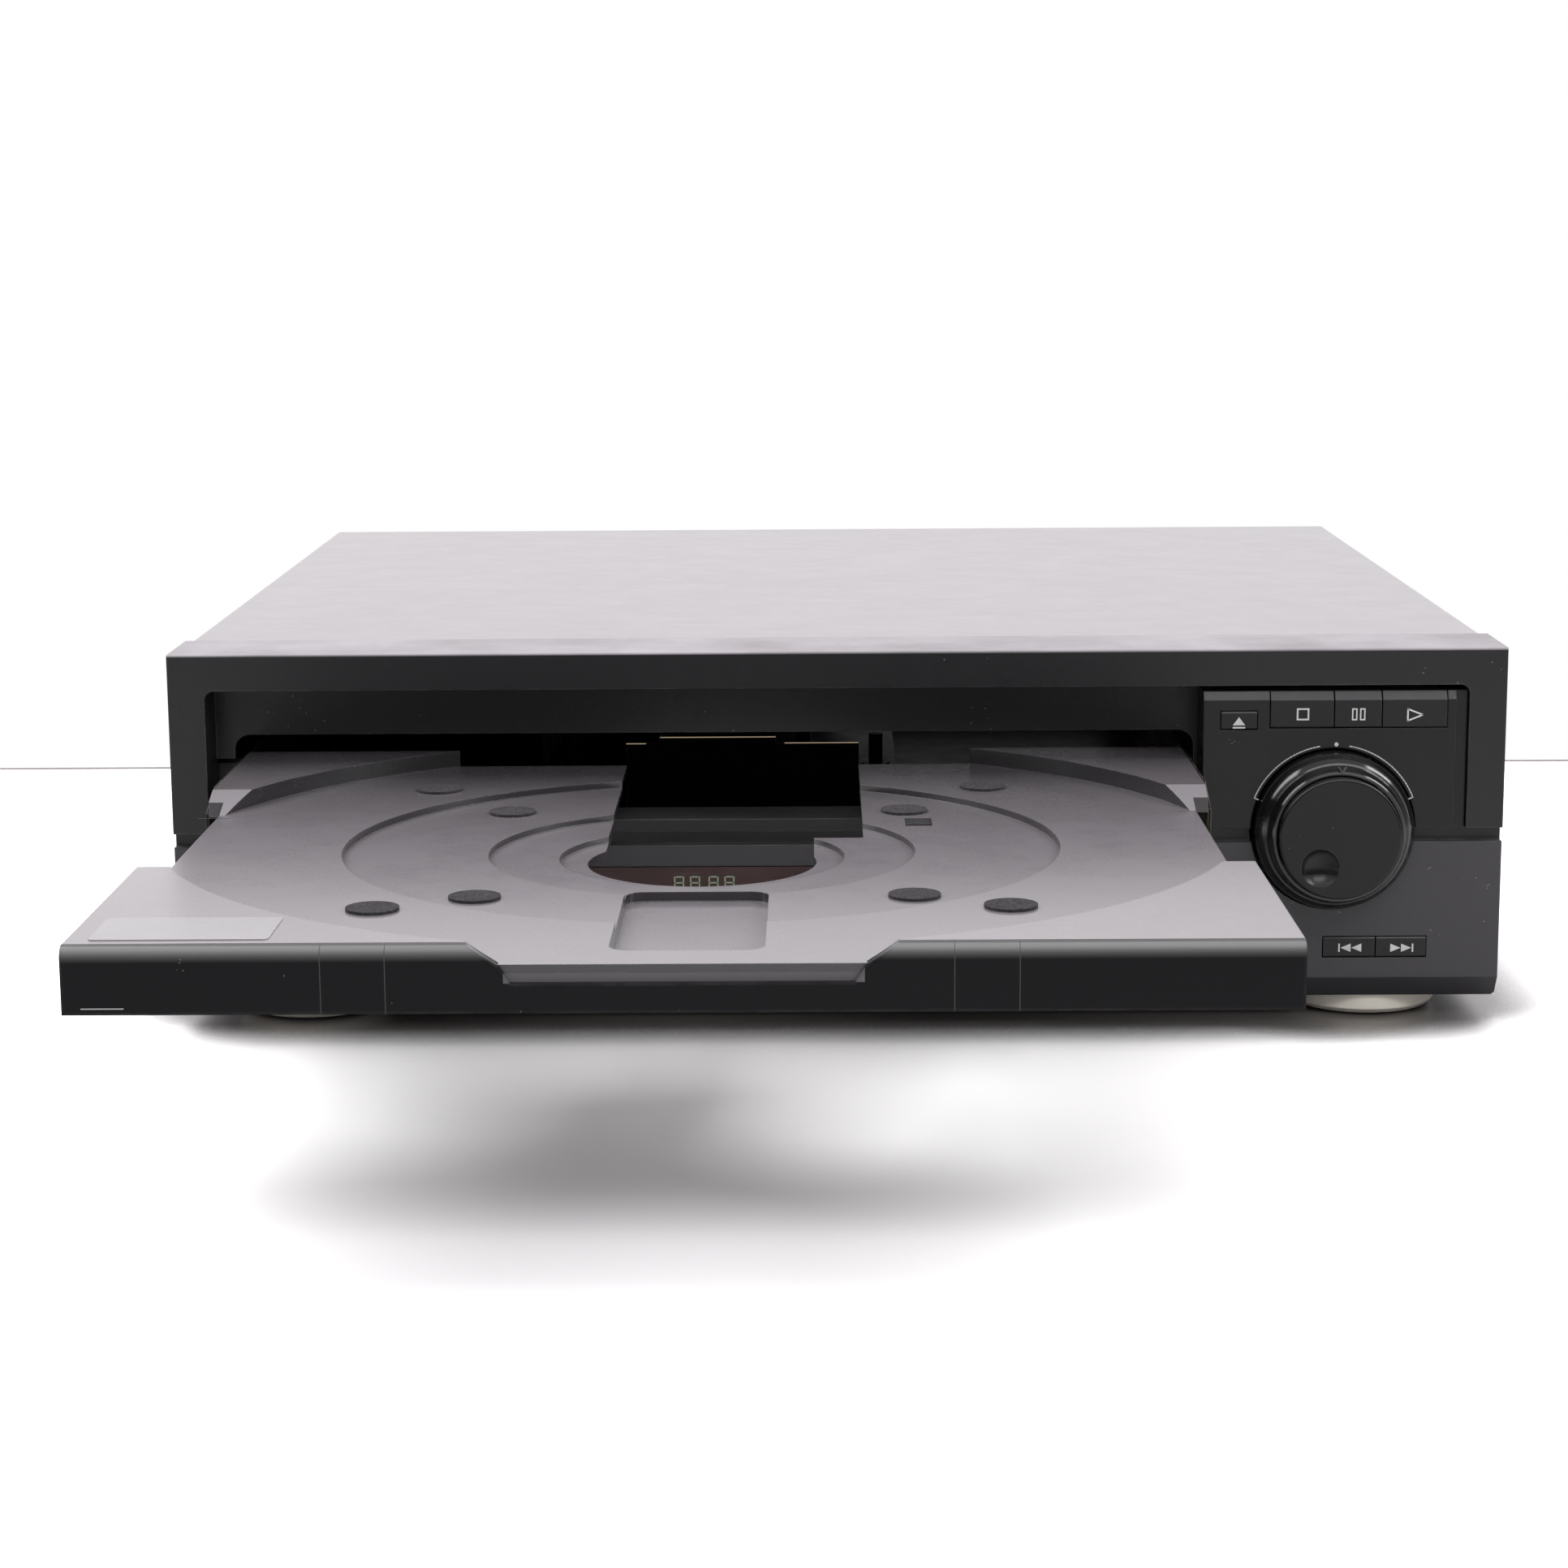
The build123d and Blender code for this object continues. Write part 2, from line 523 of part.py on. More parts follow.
with BuildPart() as top_cover:
    slab((-COVER_HALF, COVER_HALF), (BEZEL_DEPTH + SEAM, CASE_DEPTH), (COVER_BOTTOM, COVER_TOP))
    top_sides = top_cover.edges().filter_by(Axis.Y).group_by(Axis.Z)[-1]
    fillet(top_sides, radius=1.6)
    inside = COVER_HALF - COVER_SHEET
    slab((-inside, inside), (BEZEL_DEPTH, REAR_FACE), (COVER_BOTTOM, COVER_TOP - COVER_SHEET), Mode.SUBTRACT)
    slab((-inside, inside), (REAR_FACE, CASE_DEPTH), (COVER_BOTTOM, COVER_TOP - REAR_LIP), Mode.SUBTRACT)
    for depth in SIDE_SCREW_DEPTHS:
        crosswise((-HALF, HALF), depth, SIDE_SCREW_Z, SCREW_HOLE, Mode.SUBTRACT)
    for x in REAR_SCREW_X:
        lengthwise(x, (REAR_FACE, CASE_DEPTH), REAR_SCREW_Z, SCREW_HOLE, Mode.SUBTRACT)
    for side in (-1, 1):
        with BuildSketch(Plane.YZ.offset(side * COVER_HALF)):
            with Locations((PANEL_Y + CASE_DEPTH - 139, CASE_HEIGHT * 0.58)):
                with GridLocations(9, 0, 12, 1):
                    SlotOverall(38, 3.2, rotation=90)
        extrude(amount=-side * 2 * COVER_SHEET, mode=Mode.SUBTRACT)
top_cover.part.label = "top_cover"
export_step(top_cover.part, "parts/top_cover.step")

INLET_X = HALF - 42.0
INLET_Z = 34.0
INLET_SIZE = (26.0, 20.0)
JACK_X = [60.0 - HALF + 17.0 * index for index in range(6)]
JACK_Z = DECK_Z - 9.0
JACK_RADIUS = 4.15
JACK_COLLAR = 6.0
JACK_BLOCK_X = (JACK_X[0] - 12, JACK_X[-1] + 12)
JACK_BLOCK_Z = (MAIN_BOARD_Z + BOARD_THICK, DECK_Z - 1.0)

with BuildPart() as rear_panel:
    slab((-PAN_HALF, PAN_HALF), (REAR_FACE - SHEET, REAR_FACE), (PAN_TOP, COVER_TOP - COVER_SHEET))
    for x in JACK_X:
        lengthwise(x, (REAR_FACE - SHEET, REAR_FACE), JACK_Z, JACK_COLLAR + 0.1, Mode.SUBTRACT)
    for x in REAR_SCREW_X:
        lengthwise(x, (REAR_FACE - SHEET, REAR_FACE), REAR_SCREW_Z, SCREW_HOLE - 0.1, Mode.SUBTRACT)
    inlet_cut_x = (INLET_X - INLET_SIZE[0] / 2 - 0.2, INLET_X + INLET_SIZE[0] / 2 + 0.2)
    inlet_cut_z = (INLET_Z - INLET_SIZE[1] / 2 - 0.2, INLET_Z + INLET_SIZE[1] / 2 + 0.2)
    slab(inlet_cut_x, (REAR_FACE - SHEET, REAR_FACE), inlet_cut_z, Mode.SUBTRACT)
    with BuildSketch(facing(REAR_FACE - SHEET)):
        with Locations((60, CASE_HEIGHT * 0.72)):
            with GridLocations(8, 0, 14, 1):
                SlotOverall(26, 3, rotation=90)
    extrude(amount=-SHEET, mode=Mode.SUBTRACT)
rear_panel.part.label = "rear_panel"
export_step(rear_panel.part, "parts/rear_panel.step")

with BuildPart() as feet:
    for x in (-FOOT_X, FOOT_X):
        for depth in FOOT_DEPTHS:
            upright(x, depth, (PAD_PROUD, FOOT_HEIGHT), FOOT_RADIUS)
    chamfer(feet.edges().group_by(Axis.Z)[0], length=1.4)
    for x in (-FOOT_X, FOOT_X):
        for depth in FOOT_DEPTHS:
            upright(x, depth, (PAD_PROUD, PAD_PROUD + 1), FOOT_PAD_RADIUS + 0.2, Mode.SUBTRACT)
            upright(x, depth, (PAD_PROUD, PAD_PROUD + 5), HEAD_RADIUS + 0.4, Mode.SUBTRACT)
            upright(x, depth, (PAD_PROUD, FOOT_HEIGHT), SCREW_HOLE, Mode.SUBTRACT)
feet.part.label = "feet"
export_step(feet.part, "parts/feet.step")

with BuildPart() as foot_pads:
    for x in (-FOOT_X, FOOT_X):
        for depth in FOOT_DEPTHS:
            upright(x, depth, (0, PAD_PROUD + 1), FOOT_PAD_RADIUS)
            upright(x, depth, (0, PAD_PROUD + 1), FOOT_PAD_BORE, Mode.SUBTRACT)
foot_pads.part.label = "foot_pads"
export_step(foot_pads.part, "parts/foot_pads.step")

# ======================= controls =======================

switch_places = []


def make_button(label, x, z, face, bevels=0.5, stem_x=None, tall=BUTTON_DEEP):
    """Push button: a cap in its hole, a keeper behind the skin, and a stem to its switch."""
    stem_at = sum(x) / 2 if stem_x is None else stem_x
    middle = sum(z) / 2
    skin_back = face + WALL
    keeper = (skin_back + BUTTON_GAP, skin_back + BUTTON_GAP + 1.2)
    stem_end = FRONT_BOARD_DEPTH - SWITCH_DEEP - 1.5 - BUTTON_TRAVEL - CLEAR
    with BuildPart() as button:
        slab(x, (face - BUTTON_PROUD, tall), z)
        front = button.faces().sort_by(Axis.Y)[0]
        chamfer(front.edges().filter_by(Axis.X).sort_by(Axis.Z)[-1], length=bevels, length2=bevels * 0.6)
        chamfer(button.faces().sort_by(Axis.Y)[0].edges().sort_by(Axis.Z)[0], length=0.4)
        slab(x, keeper, (z[0] - 1.5, z[0] + 1))
        stem_x_span = (stem_at - 1.6, stem_at + 1.6)
        slab(stem_x_span, (tall, stem_end), (middle - 1.6, middle + 1.6))
        if stem_x is not None:
            slab(sorted((sum(x) / 2, stem_at + 1.6)), (keeper[1], tall), (middle - 1.6, middle + 1.6))
    button.part.label = label
    export_step(button.part, f"parts/{label}.step")
    switch_places.append((stem_at, middle))


def split_span(start, end):
    return start + BUTTON_SPLIT_GAP / 2, end - BUTTON_SPLIT_GAP / 2


BANK_EDGES = (BANK_X[0] - BUTTON_SPLIT_GAP / 2, *BANK_SPLITS, BANK_X[1] + BUTTON_SPLIT_GAP / 2)
for index, label in enumerate(("stop_button", "pause_button", "play_button")):
    make_button(label, split_span(BANK_EDGES[index], BANK_EDGES[index + 1]), BANK_Z, PLATE_FACE, PLATE_BEVEL)
make_button("open_close_button", OPEN_X, OPEN_Z, PLATE_FACE, stem_x=OPEN_X[1] + 1.0)
make_button("skip_back_button", (SKIP_X[0], SKIP_SPLIT - BUTTON_SPLIT_GAP / 2), SKIP_Z, LOWER_STEP)
make_button("skip_forward_button", (SKIP_SPLIT + BUTTON_SPLIT_GAP / 2, SKIP_X[1]), SKIP_Z, LOWER_STEP)
make_button("select_button", SELECT_X, SKIP_Z, LOWER_STEP)
make_button("power_button", POWER_X, POWER_Z, LOWER_STEP)

BUSH_FRONT = -1.0
with BuildPart() as jog_dial:
    lengthwise(DIAL_X, (-KNOB_PROUD, -KNOB_PROUD + KNOB_THICK), DIAL_Z, DISC_KNOB_RADIUS)
    fillet(jog_dial.edges().group_by(Axis.Y)[0], radius=0.8)
    lengthwise(DIAL_X, (-KNOB_PROUD + KNOB_THICK, FRONT_BOARD_DEPTH - 2), DIAL_Z, SPINDLE_RADIUS)
    ball = (DIMPLE_RADIUS ** 2 + DIMPLE_DEPTH ** 2) / (2 * DIMPLE_DEPTH)
    with Locations((DIAL_X + DIMPLE[0], PANEL_Y - KNOB_PROUD - ball + DIMPLE_DEPTH, DIAL_Z + DIMPLE[1])):
        Sphere(ball, mode=Mode.SUBTRACT)
jog_dial.part.label = "jog_dial"
export_step(jog_dial.part, "parts/jog_dial.step")

RING_BACK = 5.0
RING_WEB = (2.0, 5.0)
with BuildPart() as shuttle_ring:
    with BuildSketch(Plane.XY):
        with BuildLine():
            Polyline(
                (RING_BORE, RING_BACK),
                (RING_RADIUS, RING_BACK),
                (RING_RADIUS, -3.0),
            )
            ThreePointArc((RING_RADIUS, -3.0), (RING_RADIUS - 0.8, -5.9), (RING_RADIUS - 2.4, -8.0))
            Polyline(
                (RING_RADIUS - 2.4, -8.0),
                (RING_RADIUS - 3.0, -8.3),
                (RING_RADIUS - 4.1, -12.2),
                (RING_RADIUS - 4.6, -RING_PROUD),
                (RING_BORE, -RING_PROUD),
                (RING_BORE, RING_BACK),
            )
        make_face()
    revolve(axis=Axis.Y)
    with BuildSketch(Plane.XZ.offset(-RING_WEB[0])):
        Circle(RING_BORE + 0.5)
    extrude(amount=RING_WEB[0] - RING_WEB[1])
    with BuildSketch(Plane.XZ.offset(-RING_WEB[0])):
        Circle(BUSH_RADIUS + FIT)
    extrude(amount=RING_WEB[0] - RING_WEB[1], mode=Mode.SUBTRACT)
shuttle_ring.part = shuttle_ring.part.moved(Location((DIAL_X, PANEL_Y, DIAL_Z)))
shuttle_ring.part.label = "shuttle_ring"
export_step(shuttle_ring.part, "parts/shuttle_ring.step")

with BuildPart() as dial_encoder:
    lengthwise(DIAL_X, (12.0, FRONT_BOARD_DEPTH), DIAL_Z, 14.0)
    lengthwise(DIAL_X, (BUSH_FRONT, 12.0), DIAL_Z, BUSH_RADIUS)
    lengthwise(DIAL_X, (BUSH_FRONT, FRONT_BOARD_DEPTH), DIAL_Z, SPINDLE_RADIUS + FIT, Mode.SUBTRACT)
dial_encoder.part.label = "dial_encoder"
export_step(dial_encoder.part, "parts/dial_encoder.step")

board_depths = (FRONT_BOARD_DEPTH, FRONT_BOARD_DEPTH + BOARD_THICK)
with BuildPart() as front_board:
    slab(FRONT_BOARD_X, board_depths, FRONT_BOARD_Z)
    slab(FRONT_BOARD_TALL_X, board_depths, (FRONT_BOARD_Z[1], FRONT_BOARD_TOP))
front_board.part.label = "front_board"
export_step(front_board.part, "parts/front_board.step")

with BuildPart() as tact_switches:
    for x, z in switch_places:
        reach = SWITCH_SIZE / 2
        switch_depths = (FRONT_BOARD_DEPTH - SWITCH_DEEP, FRONT_BOARD_DEPTH)
        slab((x - reach, x + reach), switch_depths, (z - reach, z + reach))
        lengthwise(x, (FRONT_BOARD_DEPTH - SWITCH_DEEP - 1.5, FRONT_BOARD_DEPTH - SWITCH_DEEP), z, 1.7)
tact_switches.part.label = "tact_switches"
export_step(tact_switches.part, "parts/tact_switches.step")

TUBE_X = (TRAY_X - 39.0, TRAY_X + 39.0)
TUBE_Z = (WINDOW_Z[0] + 6.6, WINDOW_Z[1] - 1.2)
with BuildPart() as display_tube:
    slab(TUBE_X, (9.0, 15.0), TUBE_Z)
    slab((TUBE_X[0] + 4, TUBE_X[1] - 4), (15.0, FRONT_BOARD_DEPTH), (TUBE_Z[0] + 1, TUBE_Z[0] + 3))
display_tube.part.label = "display_tube"
export_step(display_tube.part, "parts/display_tube.step")

# ======================= tray =======================

wide_left, wide_right = TRAY_X - LIP_HALF, TRAY_X + LIP_HALF
narrow_left, narrow_right = TRAY_X - TRAY_HALF, TRAY_X + TRAY_HALF
ledge_foot = LEDGE_FRONT - LEDGE_SLOPE
lip_inner = TRAY_FRONT + LIP_WALL
disc_centre = (TRAY_X, DISC_DEPTH)


def sunk_disc(radius, z, mode):
    upright(TRAY_X, DISC_DEPTH, z, radius, mode)


with BuildPart() as tray:
    flat_outline(
        [
            (wide_left, lip_inner),
            (wide_right, lip_inner),
            (wide_right, LIP_BACK),
            (narrow_right, LIP_BACK),
            (narrow_right, LEDGE_FRONT - LEDGE_SLOPE / 2),
            (wide_right, LEDGE_FRONT - LEDGE_SLOPE / 2),
            (wide_right, TRAY_REAR),
            (wide_left, TRAY_REAR),
            (wide_left, LEDGE_FRONT - LEDGE_SLOPE / 2),
            (narrow_left, LEDGE_FRONT - LEDGE_SLOPE / 2),
            (narrow_left, LIP_BACK),
            (wide_left, LIP_BACK),
        ],
        (UNDER_Z, LEDGE_Z),
    )
    sunk_disc(SINGLE_RADIUS + PAN_MARGIN, (SINGLE_Z - TRAY_FLOOR, UNDER_Z), Mode.ADD)
    slab((wide_left, wide_right), (TRAY_REAR, TRAY_REAR + 30), (MINI_Z - 5, LEDGE_Z), Mode.SUBTRACT)
    sunk_disc(COMPACT_RADIUS + PAN_MARGIN, (MINI_Z - TRAY_FLOOR, UNDER_Z), Mode.ADD)
    slab((POCKET_X[0] - 2, POCKET_X[1] + 2), (POCKET_DEPTHS[0] - 2, POCKET_DEPTHS[1] + 2),
         (TRAY_Z - POCKET_DROP - TRAY_FLOOR, UNDER_Z))
    notch_x = (TRAY_X - NOTCH_FLOOR_HALF, TRAY_X + NOTCH_FLOOR_HALF)
    slab(notch_x, (TRAY_FRONT + 1.4, lip_inner), (UNDER_Z, TRAY_Z))
    sunk_disc(DISC_RADIUS, (TRAY_Z, LEDGE_Z), Mode.SUBTRACT)
    sunk_disc(SINGLE_RADIUS, (SINGLE_Z, TRAY_Z), Mode.SUBTRACT)
    sunk_disc(COMPACT_RADIUS, (COMPACT_Z, SINGLE_Z), Mode.SUBTRACT)
    sunk_disc(MINI_RADIUS, (MINI_Z, COMPACT_Z), Mode.SUBTRACT)
    side_outline(
        [(ledge_foot, TRAY_Z), (LEDGE_FRONT, LEDGE_Z), (ledge_foot, LEDGE_Z)],
        (wide_left, wide_right),
        Mode.SUBTRACT,
    )
    side_outline(
        [(LIP_BACK, TRAY_Z), (ledge_foot, TRAY_Z), (ledge_foot, LEDGE_Z), (LIP_BACK, LEDGE_Z)],
        (wide_left, wide_right),
        Mode.SUBTRACT,
    )
    notch_slope_x = NOTCH_TOP_HALF - NOTCH_FLOOR_HALF
    with BuildSketch(facing(TRAY_FRONT - 1)):
        with BuildLine():
            Polyline(
                (TRAY_X - NOTCH_FLOOR_HALF, TRAY_Z),
                (TRAY_X + NOTCH_FLOOR_HALF, TRAY_Z),
                (TRAY_X + NOTCH_TOP_HALF, LEDGE_Z),
                (TRAY_X - NOTCH_TOP_HALF, LEDGE_Z),
                close=True,
            )
        make_face()
    extrude(amount=-(LIP_WALL + 25), mode=Mode.SUBTRACT)
    cutout_depths = (DISC_DEPTH, TRAY_REAR)
    upright(TRAY_X, DISC_DEPTH, (MINI_Z - TRAY_FLOOR, TRAY_Z), CUTOUT_RADIUS, Mode.SUBTRACT)
    slab((CUTOUT_LEFT, CUTOUT_RIGHT), cutout_depths, (MINI_Z - TRAY_FLOOR, TRAY_Z), Mode.SUBTRACT)
    cutout_z = (MINI_Z - TRAY_FLOOR, TRAY_Z)
    slab((CUTOUT_RIGHT - 1, CUTOUT_WIDE), (CUTOUT_STEP, TRAY_REAR), cutout_z, Mode.SUBTRACT)
    pocket_middle = (sum(POCKET_X) / 2, PANEL_Y + sum(POCKET_DEPTHS) / 2)
    with BuildSketch(Plane.XY.offset(TRAY_Z - POCKET_DROP)) as pocket_plan:
        with Locations(pocket_middle):
            RectangleRounded(POCKET_X[1] - POCKET_X[0], POCKET_DEPTHS[1] - POCKET_DEPTHS[0], POCKET_ROUND)
    extrude(pocket_plan.sketch, amount=POCKET_DROP, mode=Mode.SUBTRACT)
    slab(SENSOR_X, SENSOR_DEPTHS, (UNDER_Z - 5, TRAY_Z), Mode.SUBTRACT)
tray.part.label = "tray"
export_step(tray.part, "parts/tray.step")

with BuildPart() as tray_lip:
    slab((wide_left, wide_right), (TRAY_FRONT, lip_inner), (LIP_Z, LEDGE_Z))
    fillet(tray_lip.edges().filter_by(Axis.X).group_by(Axis.Z)[-1].sort_by(Axis.Y)[0], radius=LIP_ROUND)
    for left, right in ((wide_left, wide_left + LIP_WALL), (wide_right - LIP_WALL, wide_right)):
        slab((left, right), (lip_inner, LIP_BACK), (LIP_Z, UNDER_Z))
    slab((wide_left, wide_right), (lip_inner, lip_inner + 8), (UNDER_Z - 2, UNDER_Z))
    with BuildSketch(facing(TRAY_FRONT)):
        with BuildLine():
            Polyline(
                (TRAY_X - NOTCH_LOW_HALF, LEDGE_Z - NOTCH_DROP),
                (TRAY_X + NOTCH_LOW_HALF, LEDGE_Z - NOTCH_DROP),
                (TRAY_X + NOTCH_FLOOR_HALF, TRAY_Z),
                (TRAY_X + NOTCH_TOP_HALF, LEDGE_Z),
                (TRAY_X - NOTCH_TOP_HALF, LEDGE_Z),
                (TRAY_X - NOTCH_FLOOR_HALF, TRAY_Z),
                close=True,
            )
        make_face()
    extrude(amount=-1.4, mode=Mode.SUBTRACT)
    slab(notch_x, (TRAY_FRONT + 1.4, lip_inner), (UNDER_Z, LEDGE_Z), Mode.SUBTRACT)
    with BuildSketch(facing(TRAY_FRONT)):
        with BuildLine():
            Polyline(
                (TRAY_X - NOTCH_FLOOR_HALF, TRAY_Z),
                (TRAY_X + NOTCH_FLOOR_HALF, TRAY_Z),
                (TRAY_X + NOTCH_TOP_HALF, LEDGE_Z),
                (TRAY_X - NOTCH_TOP_HALF, LEDGE_Z),
                close=True,
            )
        make_face()
    extrude(amount=-LIP_WALL, mode=Mode.SUBTRACT)
tray_lip.part.label = "tray_lip"
export_step(tray_lip.part, "parts/tray_lip.step")

with BuildPart() as tray_pads:
    for spots, base_z in ((OUTER_PADS, TRAY_Z), (INNER_PADS, SINGLE_Z)):
        for aside, along in spots:
            for x in (TRAY_X - aside, TRAY_X + aside):
                upright(x, DISC_DEPTH + along, (base_z, base_z + PAD_THICK), PAD_RADIUS)
tray_pads.part.label = "tray_pads"
export_step(tray_pads.part, "parts/tray_pads.step")

rail_outer = wide_left - RAIL_SHEET
rail_z = (TRAY_Z - 10.0, LEDGE_Z - 0.6)
flange_z = (TRAY_Z - 6.0, TRAY_Z - 4.8)
rail_front = LEDGE_FRONT - LEDGE_SLOPE / 2
with BuildPart() as tray_rails:
    for left_side in (True, False):
        place = (lambda span: span) if left_side else mirrored_span
        rail = place((rail_outer, wide_left))
        slab(rail, (rail_front, RAIL_TAIL), rail_z)
        slab(place((rail_outer - RAIL_FLANGE, rail_outer)), (RAIL_FLANGE_FRONT, RAIL_TAIL), flange_z)
        slab(place((wide_left, wide_left + 5)), (TRAY_REAR, RAIL_TAIL), (rail_z[0], rail_z[0] + 1.5))
        side_outline(
            [(rail_front, TRAY_Z - 1), (rail_front + LEDGE_SLOPE, rail_z[1]), (rail_front, rail_z[1])],
            rail,
            Mode.SUBTRACT,
        )
tray_rails.part.label = "tray_rails"
export_step(tray_rails.part, "parts/tray_rails.step")

DRIVE_PITCH = math.pi * DRIVE_MODULE
drive_radius = DRIVE_MODULE * DRIVE_TEETH / 2
rack_ahead = 2
first_tooth = DRIVE_DEPTH - (RACK_TEETH - 1 - rack_ahead) * DRIVE_PITCH
rack_back = RACK_X + ROOT * DRIVE_MODULE + RACK_BAR
with BuildPart() as tray_rack:
    flat_outline(
        rack_points(DRIVE_MODULE, RACK_TEETH, BACKLASH, RACK_X, first_tooth, rack_back),
        (RACK_Z[0], GEAR_Z[1]),
    )
    slab((RACK_X + ROOT * DRIVE_MODULE, rack_back),
         (first_tooth - DRIVE_PITCH / 2, first_tooth + (RACK_TEETH - 0.5) * DRIVE_PITCH),
         (GEAR_Z[1], RACK_Z[1]))
tray_rack.part.label = "tray_rack"
export_step(tray_rack.part, "parts/tray_rack.step")

with BuildPart() as tray_label:
    slab(LABEL_X, LABEL_DEPTHS, (LEDGE_Z, LEDGE_Z + LABEL_THICK))
    fillet(tray_label.edges().filter_by(Axis.Z), radius=1.6)
tray_label.part.label = "tray_label"
export_step(tray_label.part, "parts/tray_label.step")

# ======================= mechanism frame =======================

deck_top = DECK_Z + DECK_SHEET
wall_left = (FRAME_LEFT - DECK_SHEET, FRAME_LEFT)
wall_right = mirrored_span(wall_left)
pulley_angle = math.radians(MESH_ANGLE)
pulley_reach = DRIVE_MODULE * (DRIVE_TEETH + PINION_TEETH) / 2
drive_x = RACK_X - drive_radius
pulley_x = drive_x + pulley_reach * math.cos(pulley_angle)
pulley_depth = DRIVE_DEPTH + pulley_reach * math.sin(pulley_angle)
motor_x = pulley_x - PULLEY_SPACING
cam_x = (TRAY_X - UNIT_HALF - 4, TRAY_X - UNIT_HALF - 4 + CAM_SHEET)

with BuildPart() as mech_chassis:
    slab((wall_left[0], wall_right[1]), DECK_DEPTHS, (DECK_Z, deck_top))
    for side in (wall_left, wall_right):
        slab(side, (DECK_DEPTHS[0], FRAME_REAR), (DECK_Z, BRIDGE_Z))
        slab(side, (FRAME_FRONT, DECK_DEPTHS[0]), (FRONT_BOARD_Z[1] + 4, BRIDGE_Z))
    slab((wall_left[1], wall_left[1] + 8), BRIDGE_DEPTHS, (BRIDGE_Z - DECK_SHEET, BRIDGE_Z))
    slab((wall_right[0] - 8, wall_right[0]), BRIDGE_DEPTHS, (BRIDGE_Z - DECK_SHEET, BRIDGE_Z))
    slab(WALL_X, (WALL_DEPTH, WALL_DEPTH + DECK_SHEET), (deck_top, WALL_TOP))
    slab(WALL_RAISED_X, (WALL_DEPTH, WALL_DEPTH + DECK_SHEET), (WALL_TOP, WALL_RAISED_TOP))
    deck_hole = (UNIT_DEPTHS[0] + 22, UNIT_DEPTHS[1] - 18)
    slab((TRAY_X - 52, TRAY_X + 44), deck_hole, (DECK_Z, deck_top), Mode.SUBTRACT)
    upright(motor_x, pulley_depth, (DECK_Z, deck_top), MOTOR_RADIUS, Mode.SUBTRACT)
mech_chassis.part.label = "mech_chassis"
export_step(mech_chassis.part, "parts/mech_chassis.step")

main_standoffs = [
    (x, depth)
    for x in (MAIN_BOARD_X[0] + 8, MAIN_BOARD_X[1] - 8)
    for depth in (MAIN_BOARD_DEPTHS[0] + 8, MAIN_BOARD_DEPTHS[1] - 8)
]
power_standoffs = [
    (x, depth)
    for x in (POWER_BOARD_X[0] + 6, POWER_BOARD_X[1] - 6)
    for depth in (POWER_BOARD_DEPTHS[0] + 6, POWER_BOARD_DEPTHS[1] - 6)
]

with BuildPart() as chassis_posts:
    for x, depth in main_standoffs + power_standoffs:
        upright(x, depth, (PAN_TOP, MAIN_BOARD_Z), STANDOFF_RADIUS)
    for x in LEG_X:
        for depth in LEG_DEPTHS:
            upright(x, depth, (PAN_TOP + DAMPER_HEIGHT, DECK_Z), LEG_RADIUS)
            upright(x, depth, (PAN_TOP, PAN_TOP + DAMPER_HEIGHT), LEG_RADIUS - 1)
    for x in (TRAY_X - SLEEVE_OFFSET, TRAY_X + SLEEVE_OFFSET):
        for depth in SLEEVE_DEPTHS:
            upright(x, depth, (deck_top, RIM_Z - 1), GUIDE_POST_RADIUS)
    upright(drive_x, DRIVE_DEPTH, (deck_top, GEAR_Z[1] - 0.5), POST_RADIUS)
    upright(drive_x, DRIVE_DEPTH, (deck_top, GEAR_Z[0] - CLEAR), POST_RADIUS + 2)
    upright(pulley_x, pulley_depth, (deck_top, GEAR_Z[0] + 6), POST_RADIUS)
    upright(pulley_x, pulley_depth, (deck_top, PULLEY_Z[0] - CLEAR), POST_RADIUS + 2)
    for depth in (CAM_DEPTHS[0] + 30, CAM_DEPTHS[1] - 30):
        slab((cam_x[0] - CLEAR - 2, cam_x[0] - CLEAR), (depth - 6, depth + 6), (deck_top, deck_top + 6))
        slab((cam_x[1] + CLEAR, cam_x[1] + CLEAR + 1.5), (depth - 6, depth + 6), (deck_top, deck_top + 6))
chassis_posts.part.label = "chassis_posts"
export_step(chassis_posts.part, "parts/chassis_posts.step")

guide_inner = rail_outer - 0.5
with BuildPart() as tray_guides:
    for left_side in (True, False):
        place = (lambda span: span) if left_side else mirrored_span
        slab(place((FRAME_LEFT, guide_inner)), (GUIDE_FRONT, FRAME_REAR), GUIDE_Z)
        slab(place((rail_outer - RAIL_FLANGE - 0.5, guide_inner)), (GUIDE_FRONT + 2, FRAME_REAR),
             (flange_z[0] - 0.3, flange_z[1] + 0.3), Mode.SUBTRACT)
tray_guides.part.label = "tray_guides"
export_step(tray_guides.part, "parts/tray_guides.step")

with BuildPart() as mech_dampers:
    for x in LEG_X:
        for depth in LEG_DEPTHS:
            upright(x, depth, (PAN_TOP, PAN_TOP + DAMPER_HEIGHT), DAMPER_RADIUS)
            upright(x, depth, (PAN_TOP, PAN_TOP + DAMPER_HEIGHT), LEG_RADIUS - 1, Mode.SUBTRACT)
mech_dampers.part.label = "mech_dampers"
export_step(mech_dampers.part, "parts/mech_dampers.step")

bridge_screw_x = (wall_left[1] + 4, wall_right[0] - 4)
bridge_screw_depths = (BRIDGE_DEPTHS[0] + 8, BRIDGE_DEPTHS[1] - 8)

